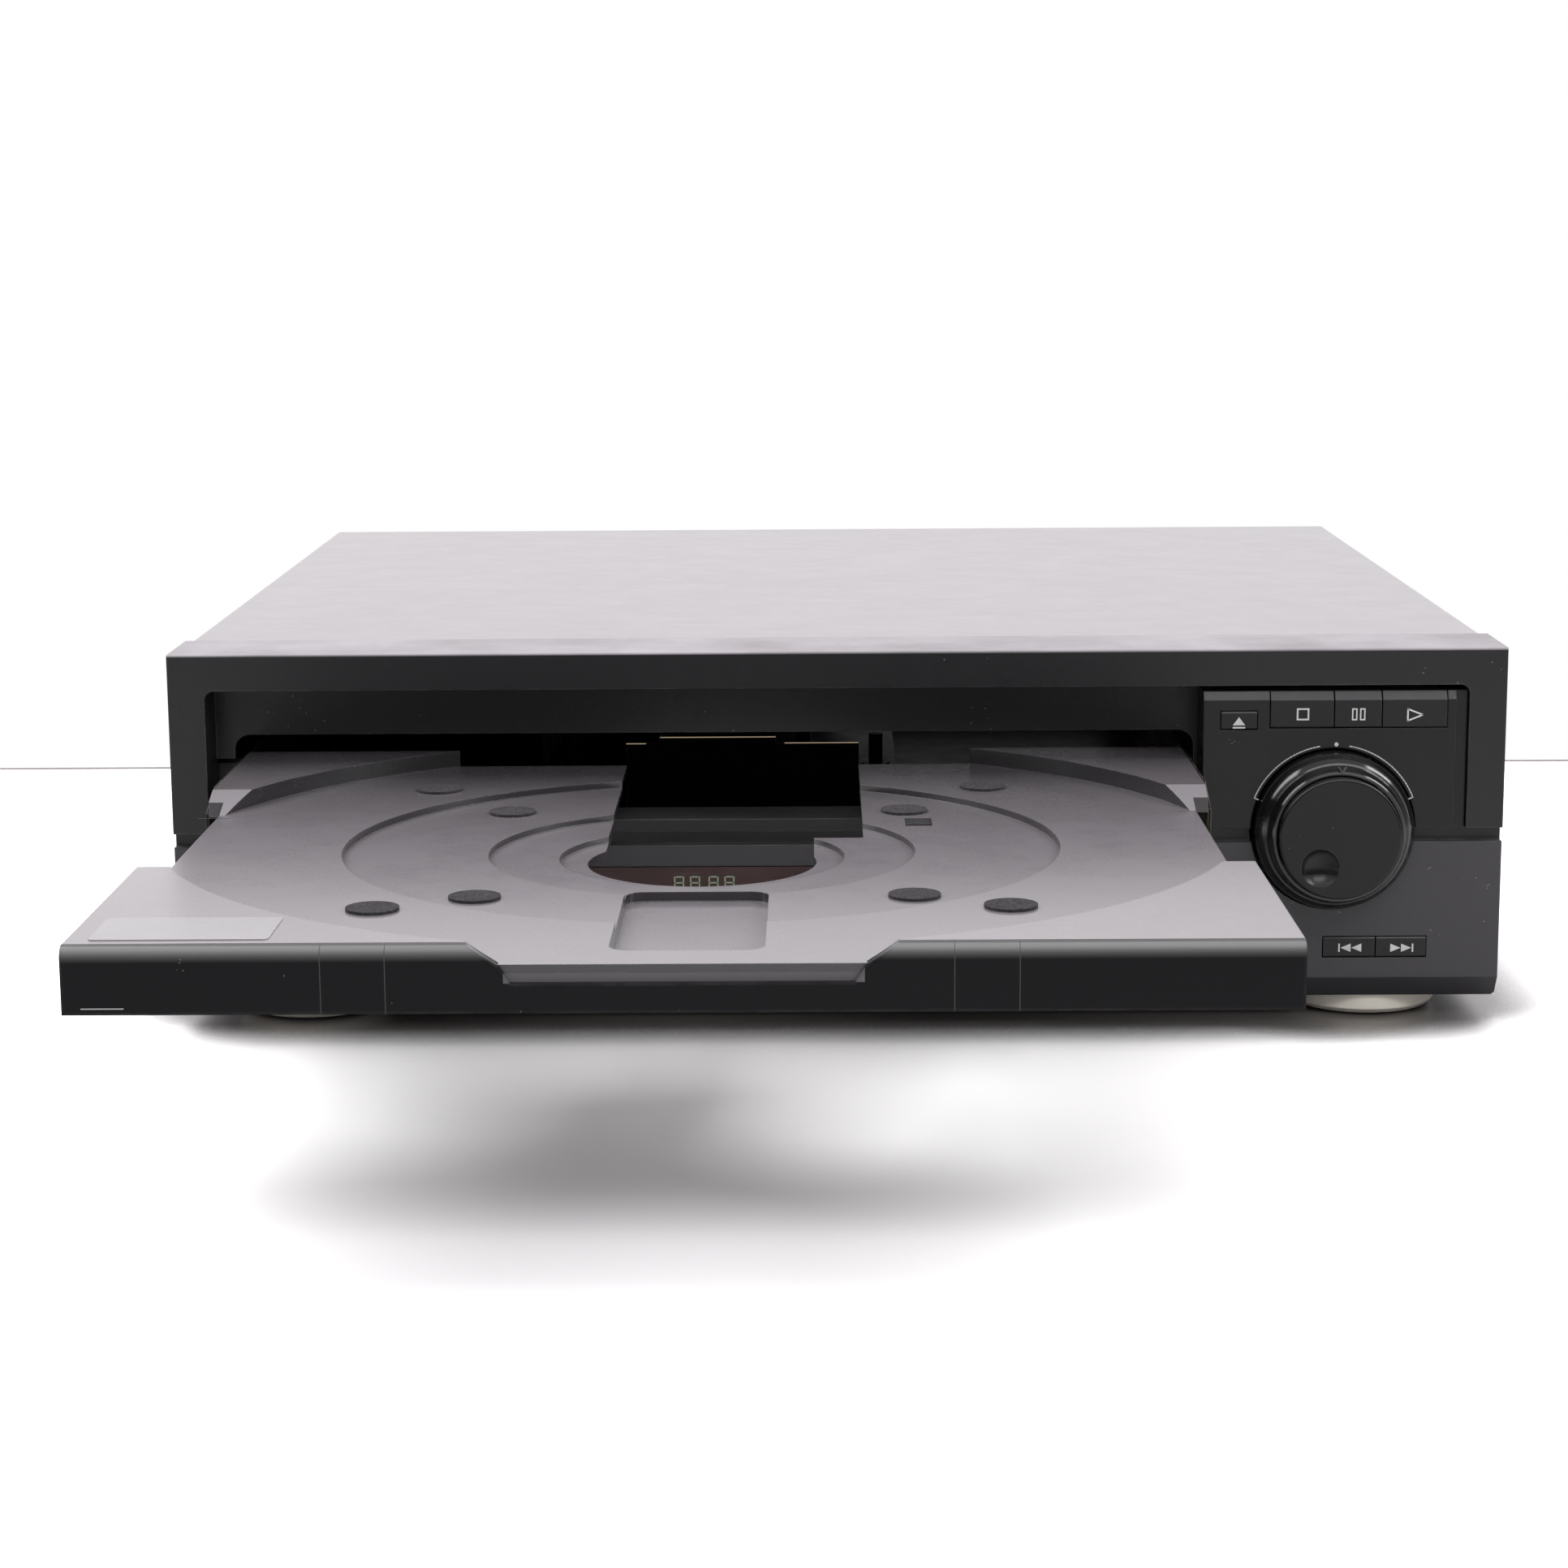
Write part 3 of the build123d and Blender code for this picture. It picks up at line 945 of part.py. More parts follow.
with BuildPart() as clamper_bridge:
    slab((wall_left[0], wall_right[1]), BRIDGE_DEPTHS, (BRIDGE_Z, BRIDGE_Z + BRIDGE_SHEET))
    for depth in (BRIDGE_DEPTHS[0], BRIDGE_DEPTHS[1] - BRIDGE_SHEET):
        slab((wall_left[1] + 10, wall_right[0] - 10), (depth, depth + BRIDGE_SHEET),
             (BRIDGE_Z + BRIDGE_SHEET, BRIDGE_Z + BRIDGE_LIP))
    upright(TRAY_X, SPINDLE_DEPTH, (BRIDGE_Z, BRIDGE_Z + BRIDGE_SHEET), BRIDGE_BORE, Mode.SUBTRACT)
    for x in bridge_screw_x:
        for depth in bridge_screw_depths:
            upright(x, depth, (BRIDGE_Z, BRIDGE_Z + BRIDGE_SHEET), SCREW_HOLE, Mode.SUBTRACT)
clamper_bridge.part.label = "clamper_bridge"
export_step(clamper_bridge.part, "parts/clamper_bridge.step")

with BuildPart() as screws:
    for x in (-FOOT_X, FOOT_X):
        for depth in FOOT_DEPTHS:
            upright(x, depth, (PAD_PROUD + 3, PAD_PROUD + 5), HEAD_RADIUS)
            upright(x, depth, (PAD_PROUD + 5, PAN_TOP + 2), SCREW_RADIUS)
    for side in (-1, 1):
        for depth in SIDE_SCREW_DEPTHS:
            shank = sorted((side * (PAN_HALF - 4), side * COVER_HALF))
            crosswise(shank, depth, SIDE_SCREW_Z, SCREW_RADIUS)
            head = sorted((side * COVER_HALF, side * (HALF - 0.05)))
            crosswise(head, depth, SIDE_SCREW_Z, HEAD_RADIUS)
    for x in REAR_SCREW_X:
        lengthwise(x, (REAR_FACE - SHEET - 3, CASE_DEPTH), REAR_SCREW_Z, SCREW_RADIUS)
        lengthwise(x, (CASE_DEPTH, CASE_DEPTH + 2), REAR_SCREW_Z, HEAD_RADIUS)
    for x in bridge_screw_x:
        for depth in bridge_screw_depths:
            upright(x, depth, (BRIDGE_Z, BRIDGE_Z + BRIDGE_SHEET), SCREW_RADIUS)
            upright(x, depth, (BRIDGE_Z + BRIDGE_SHEET, BRIDGE_Z + BRIDGE_SHEET + 1.8), HEAD_RADIUS)
screws.part.label = "screws"
export_step(screws.part, "parts/screws.step")

with BuildPart() as clamper:
    upright(TRAY_X, SPINDLE_DEPTH, (PUCK_Z, PUCK_Z + PUCK_THICK), PUCK_RADIUS)
    flange_bottom = BRIDGE_Z + BRIDGE_SHEET + CLEAR
    upright(TRAY_X, SPINDLE_DEPTH, (PUCK_Z + PUCK_THICK, flange_bottom), PUCK_NECK)
    upright(TRAY_X, SPINDLE_DEPTH, (flange_bottom, flange_bottom + 2), PUCK_FLANGE)
    upright(TRAY_X, SPINDLE_DEPTH, (PUCK_Z, PUCK_Z + 1.8), LARGE_HUB_RADIUS + 0.5, Mode.SUBTRACT)
    upright(TRAY_X, SPINDLE_DEPTH, (PUCK_Z, PUCK_Z + 6), SMALL_HUB_RADIUS + 1.7, Mode.SUBTRACT)
clamper.part.label = "clamper"
export_step(clamper.part, "parts/clamper.step")

# ======================= tray drive =======================

drive_centre = (drive_x, DRIVE_DEPTH)
pulley_centre = (pulley_x, pulley_depth)
with BuildPart() as drive_gear:
    flat_outline(gear_points(DRIVE_MODULE, DRIVE_TEETH, BACKLASH, drive_centre, 180 / DRIVE_TEETH), GEAR_Z)
    upright(*drive_centre, GEAR_Z, POST_RADIUS + FIT, Mode.SUBTRACT)
drive_gear.part.label = "drive_gear"
export_step(drive_gear.part, "parts/drive_gear.step")

groove_z = (sum(PULLEY_Z) / 2 - 1.1, sum(PULLEY_Z) / 2 + 1.1)


def ring_cut(centre, outer, inner, z):
    """Groove turned into a pulley's rim."""
    with BuildSketch(Plane.XY.offset(z[0])) as profile:
        with Locations((centre[0], PANEL_Y + centre[1])):
            Circle(outer)
            Circle(inner, mode=Mode.SUBTRACT)
    extrude(profile.sketch, amount=z[1] - z[0], mode=Mode.SUBTRACT)


with BuildPart() as pulley_gear:
    upright(*pulley_centre, PULLEY_Z, PULLEY_RADIUS)
    ring_cut(pulley_centre, PULLEY_RADIUS + 1, PULLEY_GROOVE, groove_z)
    upright(*pulley_centre, (PULLEY_Z[1], GEAR_Z[0]), 6.0)
    flat_outline(
        gear_points(DRIVE_MODULE, PINION_TEETH, BACKLASH, pulley_centre,
                    MESH_ANGLE + 180 + 180 / PINION_TEETH),
        (GEAR_Z[0], GEAR_Z[0] + 6),
    )
    upright(*pulley_centre, (PULLEY_Z[0], GEAR_Z[0] + 6), POST_RADIUS + FIT, Mode.SUBTRACT)
pulley_gear.part.label = "pulley_gear"
export_step(pulley_gear.part, "parts/pulley_gear.step")

motor_centre = (motor_x, pulley_depth)
MOTOR_SHAFT = 1.0
with BuildPart() as motor_pulley:
    upright(*motor_centre, PULLEY_Z, MOTOR_PULLEY_RADIUS)
    ring_cut(motor_centre, MOTOR_PULLEY_RADIUS + 1, MOTOR_PULLEY_GROOVE, groove_z)
    upright(*motor_centre, PULLEY_Z, MOTOR_SHAFT + FIT, Mode.SUBTRACT)
motor_pulley.part.label = "motor_pulley"
export_step(motor_pulley.part, "parts/motor_pulley.step")

with BuildPart() as loading_motor:
    upright(*motor_centre, MOTOR_Z, MOTOR_RADIUS - 0.1)
    upright(*motor_centre, (deck_top, deck_top + 2), MOTOR_RADIUS + 3)
    upright(*motor_centre, (MOTOR_Z[1], MOTOR_Z[1] + 1.5), 3.5)
    upright(*motor_centre, (MOTOR_Z[1] + 1.5, PULLEY_Z[1]), MOTOR_SHAFT)
loading_motor.part.label = "loading_motor"
export_step(loading_motor.part, "parts/loading_motor.step")

belt_z = sum(PULLEY_Z) / 2 - BELT_WIDTH / 2
with BuildPart() as drive_belt:
    for grow, mode in ((BELT_GAP + BELT_THICK, Mode.ADD), (BELT_GAP, Mode.SUBTRACT)):
        with BuildSketch(Plane.XY.offset(belt_z)) as loop:
            with Locations((pulley_x, PANEL_Y + pulley_depth)):
                Circle(PULLEY_GROOVE + grow)
            with Locations((motor_x, PANEL_Y + pulley_depth)):
                Circle(MOTOR_PULLEY_GROOVE + grow)
            make_hull()
        extrude(amount=BELT_WIDTH, mode=mode)
drive_belt.part.label = "drive_belt"
export_step(drive_belt.part, "parts/drive_belt.step")

# ======================= playing unit =======================

unit_top = UNIT_Z + UNIT_SHEET
unit_x = (TRAY_X - UNIT_HALF, TRAY_X + UNIT_HALF)
rod_places = (TRAY_X - ROD_OFFSET, TRAY_X + ROD_OFFSET)
rack_wall_start = SLED_RACK_X + ROOT * SLED_MODULE + SLED_RACK_BAR
rack_wall_x = (rack_wall_start, rack_wall_start + 1.5)
sled_front = SPINDLE_DEPTH + LENS_START - SLED_NOSE
gear_depth = sled_front + SLED_GEAR_BACK
sled_pitch = math.pi * SLED_MODULE
sled_rack_first = gear_depth - 2 * sled_pitch
sled_rack_depths = (sled_rack_first - sled_pitch / 2, sled_rack_first + (SLED_RACK_TEETH - 0.5) * sled_pitch)

with BuildPart() as mech_base:
    slab(unit_x, UNIT_DEPTHS, (UNIT_Z, unit_top))
    slab((TRAY_X - SLED_HALF - 1, SLED_RACK_X - 3), (SPINDLE_DEPTH + 20, UNIT_DEPTHS[1] - 8),
         (UNIT_Z, unit_top), Mode.SUBTRACT)
    for x in (TRAY_X - SLEEVE_OFFSET, TRAY_X + SLEEVE_OFFSET):
        for depth in SLEEVE_DEPTHS:
            upright(x, depth, (UNIT_Z - 4, UNIT_Z + 6), SLEEVE_RADIUS)
            upright(x, depth, (UNIT_Z - 4, UNIT_Z + 6), GUIDE_POST_RADIUS + FIT, Mode.SUBTRACT)
    for x in rod_places:
        slab((x - 4, x + 4), (ROD_DEPTHS[1] - HOLDER_LENGTH, ROD_DEPTHS[1]), (unit_top, ROD_Z + 4))
        lengthwise(x, (ROD_DEPTHS[1] - HOLDER_LENGTH, ROD_DEPTHS[1]), ROD_Z, ROD_RADIUS, Mode.SUBTRACT)
        slab((x - 4, x + 4) if x < TRAY_X else (x - 1.6, x + 4),
             (ROD_DEPTHS[0] - HOLDER_LENGTH, ROD_DEPTHS[0]),
             (unit_top, ROD_Z + 3))
    slab(rack_wall_x, sled_rack_depths, (unit_top, SLED_GEAR_Z[1]))
    for depth in CAM_PIN_DEPTHS:
        crosswise((cam_x[0] - 1, unit_x[0]), depth, CAM_PIN_Z, CAM_PIN_RADIUS)
    upright(TRAY_X, SPINDLE_DEPTH, (UNIT_Z, unit_top), 8.0, Mode.SUBTRACT)
mech_base.part.label = "mech_base"
export_step(mech_base.part, "parts/mech_base.step")

with BuildPart() as sled_rack:
    flat_outline(
        rack_points(SLED_MODULE, SLED_RACK_TEETH, SLED_BACKLASH, SLED_RACK_X,
                    sled_rack_first, rack_wall_x[0]),
        (SLED_GEAR_Z[0] - 0.5, SLED_GEAR_Z[1]),
    )
sled_rack.part.label = "sled_rack"
export_step(sled_rack.part, "parts/sled_rack.step")

with BuildPart() as guide_rods:
    for x in rod_places:
        lengthwise(x, ROD_DEPTHS, ROD_Z, ROD_RADIUS)
guide_rods.part.label = "guide_rods"
export_step(guide_rods.part, "parts/guide_rods.step")

spin_motor_top = unit_top + SPIN_MOTOR_HEIGHT
with BuildPart() as spindle_motor:
    upright(TRAY_X, SPINDLE_DEPTH, (unit_top, spin_motor_top), SPIN_MOTOR_RADIUS)
    slab((TRAY_X - 30, TRAY_X + 30), (SPINDLE_DEPTH - 10, SPINDLE_DEPTH + 4), (unit_top, unit_top + 1.5))
    upright(TRAY_X, SPINDLE_DEPTH, (UNIT_Z - 2, unit_top), 7.9)
    upright(TRAY_X, SPINDLE_DEPTH, (spin_motor_top, RIM_Z), SPIN_SHAFT_RADIUS)
    for x in rod_places:
        rod_room = (ROD_DEPTHS[0] - HOLDER_LENGTH, ROD_DEPTHS[1])
        slab((x - 4.5, x + 4.5), rod_room, (unit_top, ROD_Z + 4), Mode.SUBTRACT)
spindle_motor.part.label = "spindle_motor"
export_step(spindle_motor.part, "parts/spindle_motor.step")

with BuildPart() as turntable:
    hub_bottom = spin_motor_top + 0.5
    upright(TRAY_X, SPINDLE_DEPTH, (hub_bottom, RIM_Z), 9.0)
    upright(TRAY_X, SPINDLE_DEPTH, (RIM_Z - RIM_THICK, RIM_Z), RIM_RADIUS)
    upright(TRAY_X, SPINDLE_DEPTH, (RIM_Z, RIM_Z + LARGE_HUB_RISE), LARGE_HUB_RADIUS)
    upright(TRAY_X, SPINDLE_DEPTH, (RIM_Z + LARGE_HUB_RISE, RIM_Z + LARGE_HUB_RISE + SMALL_HUB_RISE),
            SMALL_HUB_RADIUS)
    chamfer(turntable.edges().group_by(Axis.Z)[-1], length=1.2)
    upright(TRAY_X, SPINDLE_DEPTH, (hub_bottom, RIM_Z), SPIN_SHAFT_RADIUS + FIT, Mode.SUBTRACT)
turntable.part.label = "turntable"
export_step(turntable.part, "parts/turntable.step")

lens_depth = SPINDLE_DEPTH + LENS_START
lens_top = RIM_Z - LENS_GAP
sled_rear = sled_front + SLED_LENGTH
gear_centre = (SLED_RACK_X - SLED_MODULE * SLED_GEAR_TEETH / 2, gear_depth)
pinion_reach = SLED_MODULE * (SLED_GEAR_TEETH + SLED_PINION_TEETH) / 2
PINION_MESH = 135.0
pinion_angle = math.radians(PINION_MESH)
pinion_centre = (
    gear_centre[0] + pinion_reach * math.cos(pinion_angle),
    gear_centre[1] + pinion_reach * math.sin(pinion_angle),
)
GEAR_PIN = 1.0
LENS_WELL = 9.0
with BuildPart() as pickup_sled:
    slab((TRAY_X - SLED_HALF, TRAY_X + SLED_HALF), (sled_front, sled_rear), SLED_Z)
    for x in rod_places:
        lengthwise(x, (sled_front, sled_rear), ROD_Z, ROD_RADIUS + FIT, Mode.SUBTRACT)
    slab((TRAY_X - LENS_WELL, TRAY_X + LENS_WELL), (sled_front, sled_front + 2 * LENS_WELL),
         (SLED_Z[0] + 3, SLED_Z[1]), Mode.SUBTRACT)
    upright(*pinion_centre, (SLED_Z[1] - SLED_MOTOR_THICK, SLED_Z[1]), SLED_MOTOR_RADIUS, Mode.SUBTRACT)
    upright(*gear_centre, (SLED_Z[1], SLED_GEAR_Z[1]), GEAR_PIN)
pickup_sled.part.label = "pickup_sled"
export_step(pickup_sled.part, "parts/pickup_sled.step")

holder_z = (SLED_Z[0] + 3 + LENS_TRAVEL + CLEAR, SLED_Z[1] - 0.2)
with BuildPart() as lens_holder:
    slab((TRAY_X - LENS_WELL + 0.4, TRAY_X + LENS_WELL - 0.4),
         (sled_front + 0.4, sled_front + 2 * LENS_WELL - 0.4),
         holder_z)
    upright(TRAY_X, lens_depth, (holder_z[1], lens_top - 1), LENS_RADIUS)
    upright(TRAY_X, lens_depth, holder_z, LENS_RADIUS - 1, Mode.SUBTRACT)
    upright(TRAY_X, lens_depth, (holder_z[1], lens_top - 1), LENS_RADIUS - 1, Mode.SUBTRACT)
lens_holder.part.label = "lens_holder"
export_step(lens_holder.part, "parts/lens_holder.step")

with BuildPart() as objective_lens:
    upright(TRAY_X, lens_depth, (lens_top - 2, lens_top - 0.2), LENS_RADIUS - 1)
    fillet(objective_lens.edges().group_by(Axis.Z)[-1], radius=0.8)
objective_lens.part.label = "objective_lens"
export_step(objective_lens.part, "parts/objective_lens.step")

with BuildPart() as sled_gear:
    flat_outline(
        gear_points(SLED_MODULE, SLED_GEAR_TEETH, SLED_BACKLASH, gear_centre, 180 / SLED_GEAR_TEETH),
        SLED_GEAR_Z
    )
    upright(*gear_centre, SLED_GEAR_Z, GEAR_PIN + FIT, Mode.SUBTRACT)
sled_gear.part.label = "sled_gear"
export_step(sled_gear.part, "parts/sled_gear.step")

with BuildPart() as sled_motor:
    upright(*pinion_centre, (SLED_Z[1] - SLED_MOTOR_THICK, SLED_Z[1]), SLED_MOTOR_RADIUS)
    upright(*pinion_centre, (SLED_Z[1], SLED_GEAR_Z[1]), GEAR_PIN)
sled_motor.part.label = "sled_motor"
export_step(sled_motor.part, "parts/sled_motor.step")

with BuildPart() as sled_pinion:
    flat_outline(
        gear_points(SLED_MODULE, SLED_PINION_TEETH, SLED_BACKLASH, pinion_centre,
                    PINION_MESH + 180 + 180 / SLED_PINION_TEETH),
        SLED_GEAR_Z,
    )
    upright(*pinion_centre, SLED_GEAR_Z, GEAR_PIN + FIT, Mode.SUBTRACT)
sled_pinion.part.label = "sled_pinion"
export_step(sled_pinion.part, "parts/sled_pinion.step")

slot_half = CAM_PIN_RADIUS + CLEAR
with BuildPart() as lift_cam:
    slab(cam_x, CAM_DEPTHS, CAM_Z)
    for depth in CAM_PIN_DEPTHS:
        start = (PANEL_Y + depth, CAM_PIN_Z)
        end = (PANEL_Y + depth - PLAY_LIFT, CAM_PIN_Z + PLAY_LIFT)
        with BuildSketch(Plane.YZ.offset(cam_x[0])):
            with Locations(start, end):
                Circle(slot_half)
            make_hull()
        extrude(amount=CAM_SHEET, mode=Mode.SUBTRACT)
lift_cam.part.label = "lift_cam"
export_step(lift_cam.part, "parts/lift_cam.step")

# ======================= electronics =======================

board_z = (MAIN_BOARD_Z, MAIN_BOARD_Z + BOARD_THICK)
with BuildPart() as circuit_boards:
    slab(MAIN_BOARD_X, MAIN_BOARD_DEPTHS, board_z)
    slab(JACK_BLOCK_X, (MAIN_BOARD_DEPTHS[1], REAR_FACE - SHEET - 2), board_z)
    slab(POWER_BOARD_X, POWER_BOARD_DEPTHS, board_z)
circuit_boards.part.label = "circuit_boards"
export_step(circuit_boards.part, "parts/circuit_boards.step")

with BuildPart() as board_chips:
    for index in range(4):
        for row in range(3):
            x = MAIN_BOARD_X[0] + 50 + 58 * index
            depth = MAIN_BOARD_DEPTHS[0] + 50 + 82 * row
            slab((x - 9, x + 9), (depth - 7, depth + 7), (board_z[1], board_z[1] + 3))
board_chips.part.label = "board_chips"
export_step(board_chips.part, "parts/board_chips.step")

with BuildPart() as capacitors:
    for index in range(4):
        x = POWER_BOARD_X[0] + 13 + 15 * (index % 2)
        depth = POWER_BOARD_DEPTHS[0] + 24 + 22 * (index // 2)
        upright(x, depth, (board_z[1], board_z[1] + 26), 5.5)
capacitors.part.label = "capacitors"
export_step(capacitors.part, "parts/capacitors.step")

SINK_X = POWER_BOARD_X[1] - 18.0
SINK_FRONT = POWER_BOARD_DEPTHS[0] + 30.0
SINK_FINS = 9
SINK_PITCH = 13.0
with BuildPart() as heat_sink:
    sink_z = (board_z[1], board_z[1] + 45)
    slab((SINK_X, SINK_X + 2), (SINK_FRONT, SINK_FRONT + SINK_PITCH * (SINK_FINS - 1) + 6), sink_z)
    for index in range(SINK_FINS):
        depth = SINK_FRONT + 2 + SINK_PITCH * index
        slab((SINK_X + 2, SINK_X + 13), (depth, depth + 1.6), sink_z)
heat_sink.part.label = "heat_sink"
export_step(heat_sink.part, "parts/heat_sink.step")

CORE_X = (HALF - 72.0, HALF - 14.0)
CORE_DEPTHS = (REAR_FACE - 120.0, REAR_FACE - 70.0)
with BuildPart() as transformer_core:
    slab((CORE_X[0] - 5, CORE_X[1] + 5), (CORE_DEPTHS[0] + 12, CORE_DEPTHS[1] - 12), (PAN_TOP, PAN_TOP + 2))
    slab(CORE_X, (CORE_DEPTHS[0] + 12, CORE_DEPTHS[1] - 12), (PAN_TOP + 2, PAN_TOP + 50))
    for x in (CORE_X[0] + 10, sum(CORE_X) / 2 + 5):
        coil_room = (CORE_DEPTHS[0] + 12, CORE_DEPTHS[1] - 12)
        slab((x, x + 14), coil_room, (PAN_TOP + 12, PAN_TOP + 40), Mode.SUBTRACT)
transformer_core.part.label = "transformer_core"
export_step(transformer_core.part, "parts/transformer_core.step")

coil_x = (CORE_X[0] + 10.3, sum(CORE_X) / 2 + 18.7)
with BuildPart() as transformer_coil:
    slab(coil_x, CORE_DEPTHS, (PAN_TOP + 12.3, PAN_TOP + 39.7))
    slab((CORE_X[0] + 23.7, sum(CORE_X) / 2 + 5.3), (CORE_DEPTHS[0] + 11.7, CORE_DEPTHS[1] - 11.7),
         (PAN_TOP + 12.3, PAN_TOP + 39.7), Mode.SUBTRACT)
transformer_coil.part.label = "transformer_coil"
export_step(transformer_coil.part, "parts/transformer_coil.step")

INLET_CAVITY = (20.0, 9.0)
with BuildPart() as ac_inlet:
    slab((INLET_X - INLET_SIZE[0] / 2, INLET_X + INLET_SIZE[0] / 2), (REAR_FACE - 18, REAR_FACE + 1),
         (INLET_Z - INLET_SIZE[1] / 2, INLET_Z + INLET_SIZE[1] / 2))
    slab((INLET_X - INLET_SIZE[0] / 2 - 3, INLET_X + INLET_SIZE[0] / 2 + 3), (REAR_FACE, REAR_FACE + 1.6),
         (INLET_Z - INLET_SIZE[1] / 2 - 3, INLET_Z + INLET_SIZE[1] / 2 + 3))
    rounded((INLET_X - INLET_CAVITY[0] / 2, INLET_X + INLET_CAVITY[0] / 2),
            (INLET_Z - INLET_CAVITY[1] / 2, INLET_Z + INLET_CAVITY[1] / 2),
            (REAR_FACE - 14, REAR_FACE + 2), 4.2, Mode.SUBTRACT)
    for x in (INLET_X - 4.3, INLET_X + 4.3):
        lengthwise(x, (REAR_FACE - 15, REAR_FACE - 3), INLET_Z, 1.2)
ac_inlet.part.label = "ac_inlet"
export_step(ac_inlet.part, "parts/ac_inlet.step")

with BuildPart() as rear_jacks:
    slab(JACK_BLOCK_X, (REAR_FACE - SHEET - 13, REAR_FACE - SHEET), JACK_BLOCK_Z)
    for x in JACK_X:
        lengthwise(x, (REAR_FACE - SHEET, REAR_FACE), JACK_Z, JACK_COLLAR)
        lengthwise(x, (REAR_FACE, REAR_FACE + JACK_PROUD), JACK_Z, JACK_RADIUS)
        lengthwise(x, (REAR_FACE - 3, REAR_FACE + JACK_PROUD), JACK_Z, 1.7, Mode.SUBTRACT)
rear_jacks.part.label = "rear_jacks"
export_step(rear_jacks.part, "parts/rear_jacks.step")
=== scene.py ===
import json
import math

import bmesh
import bpy
from mathutils import Matrix, Vector


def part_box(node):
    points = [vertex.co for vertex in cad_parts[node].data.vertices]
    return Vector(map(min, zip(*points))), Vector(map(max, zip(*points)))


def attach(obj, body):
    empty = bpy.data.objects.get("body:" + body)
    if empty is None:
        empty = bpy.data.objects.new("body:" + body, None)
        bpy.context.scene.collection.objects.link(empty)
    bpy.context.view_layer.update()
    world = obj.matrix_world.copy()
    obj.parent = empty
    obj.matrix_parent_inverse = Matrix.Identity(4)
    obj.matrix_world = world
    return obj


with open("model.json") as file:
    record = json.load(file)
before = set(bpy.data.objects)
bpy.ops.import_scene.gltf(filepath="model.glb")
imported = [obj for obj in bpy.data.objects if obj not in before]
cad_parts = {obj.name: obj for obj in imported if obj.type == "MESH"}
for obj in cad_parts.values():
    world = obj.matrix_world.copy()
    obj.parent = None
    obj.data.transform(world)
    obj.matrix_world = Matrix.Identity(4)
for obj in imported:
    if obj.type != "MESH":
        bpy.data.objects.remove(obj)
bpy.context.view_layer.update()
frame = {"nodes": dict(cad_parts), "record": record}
NODES = frame["nodes"]


# The frame and the shader coordinates are in metres. Outlines of the pieces are in mm, and their
# depth is counted backwards from the front panel's face.
def low_mm(node):
    """The lower corner of a node's box in mm."""
    return [value * 1000 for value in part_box(node)[0]]


def high_mm(node):
    """The upper corner of a node's box in mm."""
    return [value * 1000 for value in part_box(node)[1]]


PANEL_Y = low_mm("front_panel")[1]


# ---------------------------------------------------------------- shader trees
class Tree:
    """The node tree of a material or world, with short calls for adding and joining nodes."""

    def __init__(self, owner, output="ShaderNodeOutputMaterial", place="Object"):
        owner.use_nodes = True
        self.owner = owner
        self.nodes = owner.node_tree.nodes
        self.links = owner.node_tree.links
        self.nodes.clear()
        self.out = self.add(output)
        self.place = self.add("ShaderNodeTexCoord").outputs[place]

    def add(self, kind, inputs=None, **props):
        node = self.nodes.new(kind)
        for key, value in props.items():
            setattr(node, key, value)
        for key, value in (inputs or {}).items():
            self.put(node.inputs[key], value)
        return node

    def put(self, socket, value):
        if isinstance(value, bpy.types.NodeSocket):
            self.links.new(value, socket)
        else:
            socket.default_value = value

    def noise(self, scale, detail=3.0, stretch=None, rough=0.5):
        place = self.place
        if stretch:
            mapping = self.add("ShaderNodeMapping", {"Vector": place, "Scale": stretch})
            place = mapping.outputs["Vector"]
        node = self.add(
            "ShaderNodeTexNoise",
            {"Vector": place, "Scale": scale, "Detail": detail, "Roughness": rough},
        )
        return node.outputs["Fac"]

    def cells(self, scale):
        return self.add("ShaderNodeTexVoronoi", {"Vector": self.place, "Scale": scale}).outputs

    def ramp(self, value, low, high, out_low=0.0, out_high=1.0):
        node = self.add(
            "ShaderNodeMapRange",
            {
                "Value": value,
                "From Min": low,
                "From Max": high,
                "To Min": out_low,
                "To Max": out_high,
            },
        )
        return node.outputs["Result"]

    def math(self, how, a, b=0.0):
        node = self.add("ShaderNodeMath", operation=how)
        self.put(node.inputs[0], a)
        self.put(node.inputs[1], b)
        return node.outputs[0]

    def away(self, value, spot):
        """How far a coordinate is from one spot."""
        return self.math("ABSOLUTE", self.math("SUBTRACT", value, spot))

    def mix(self, factor, a, b):
        node = self.add("ShaderNodeMix", data_type="RGBA")
        self.put(node.inputs["Factor"], factor)
        self.put(node.inputs[6], a)
        self.put(node.inputs[7], b)
        return node.outputs[2]

    def blend(self, factor, a, b):
        """One shader passing into another."""
        return self.add("ShaderNodeMixShader", {0: factor, 1: a, 2: b}).outputs[0]

    def axis(self, vector, letter):
        return self.add("ShaderNodeSeparateXYZ", {"Vector": vector}).outputs[letter]

    def facing(self, letter):
        """How far the real surface faces along one axis."""
        return self.axis(self.add("ShaderNodeNewGeometry").outputs["True Normal"], letter)

    def bump(self, height, distance, strength=1.0, normal=None):
        inputs = {"Height": height, "Distance": distance, "Strength": strength}
        if normal is not None:
            inputs["Normal"] = normal
        return self.add("ShaderNodeBump", inputs).outputs["Normal"]

    def finish(self, shader):
        self.links.new(shader, self.out.inputs["Surface"])
        return self.owner


def material_tree(name):
    return Tree(bpy.data.materials.new(name))


def shade(colour, factor):
    """A colour made darker or lighter, with its fourth value for the socket."""
    return (*(min(value * factor, 1.0) for value in colour), 1.0)


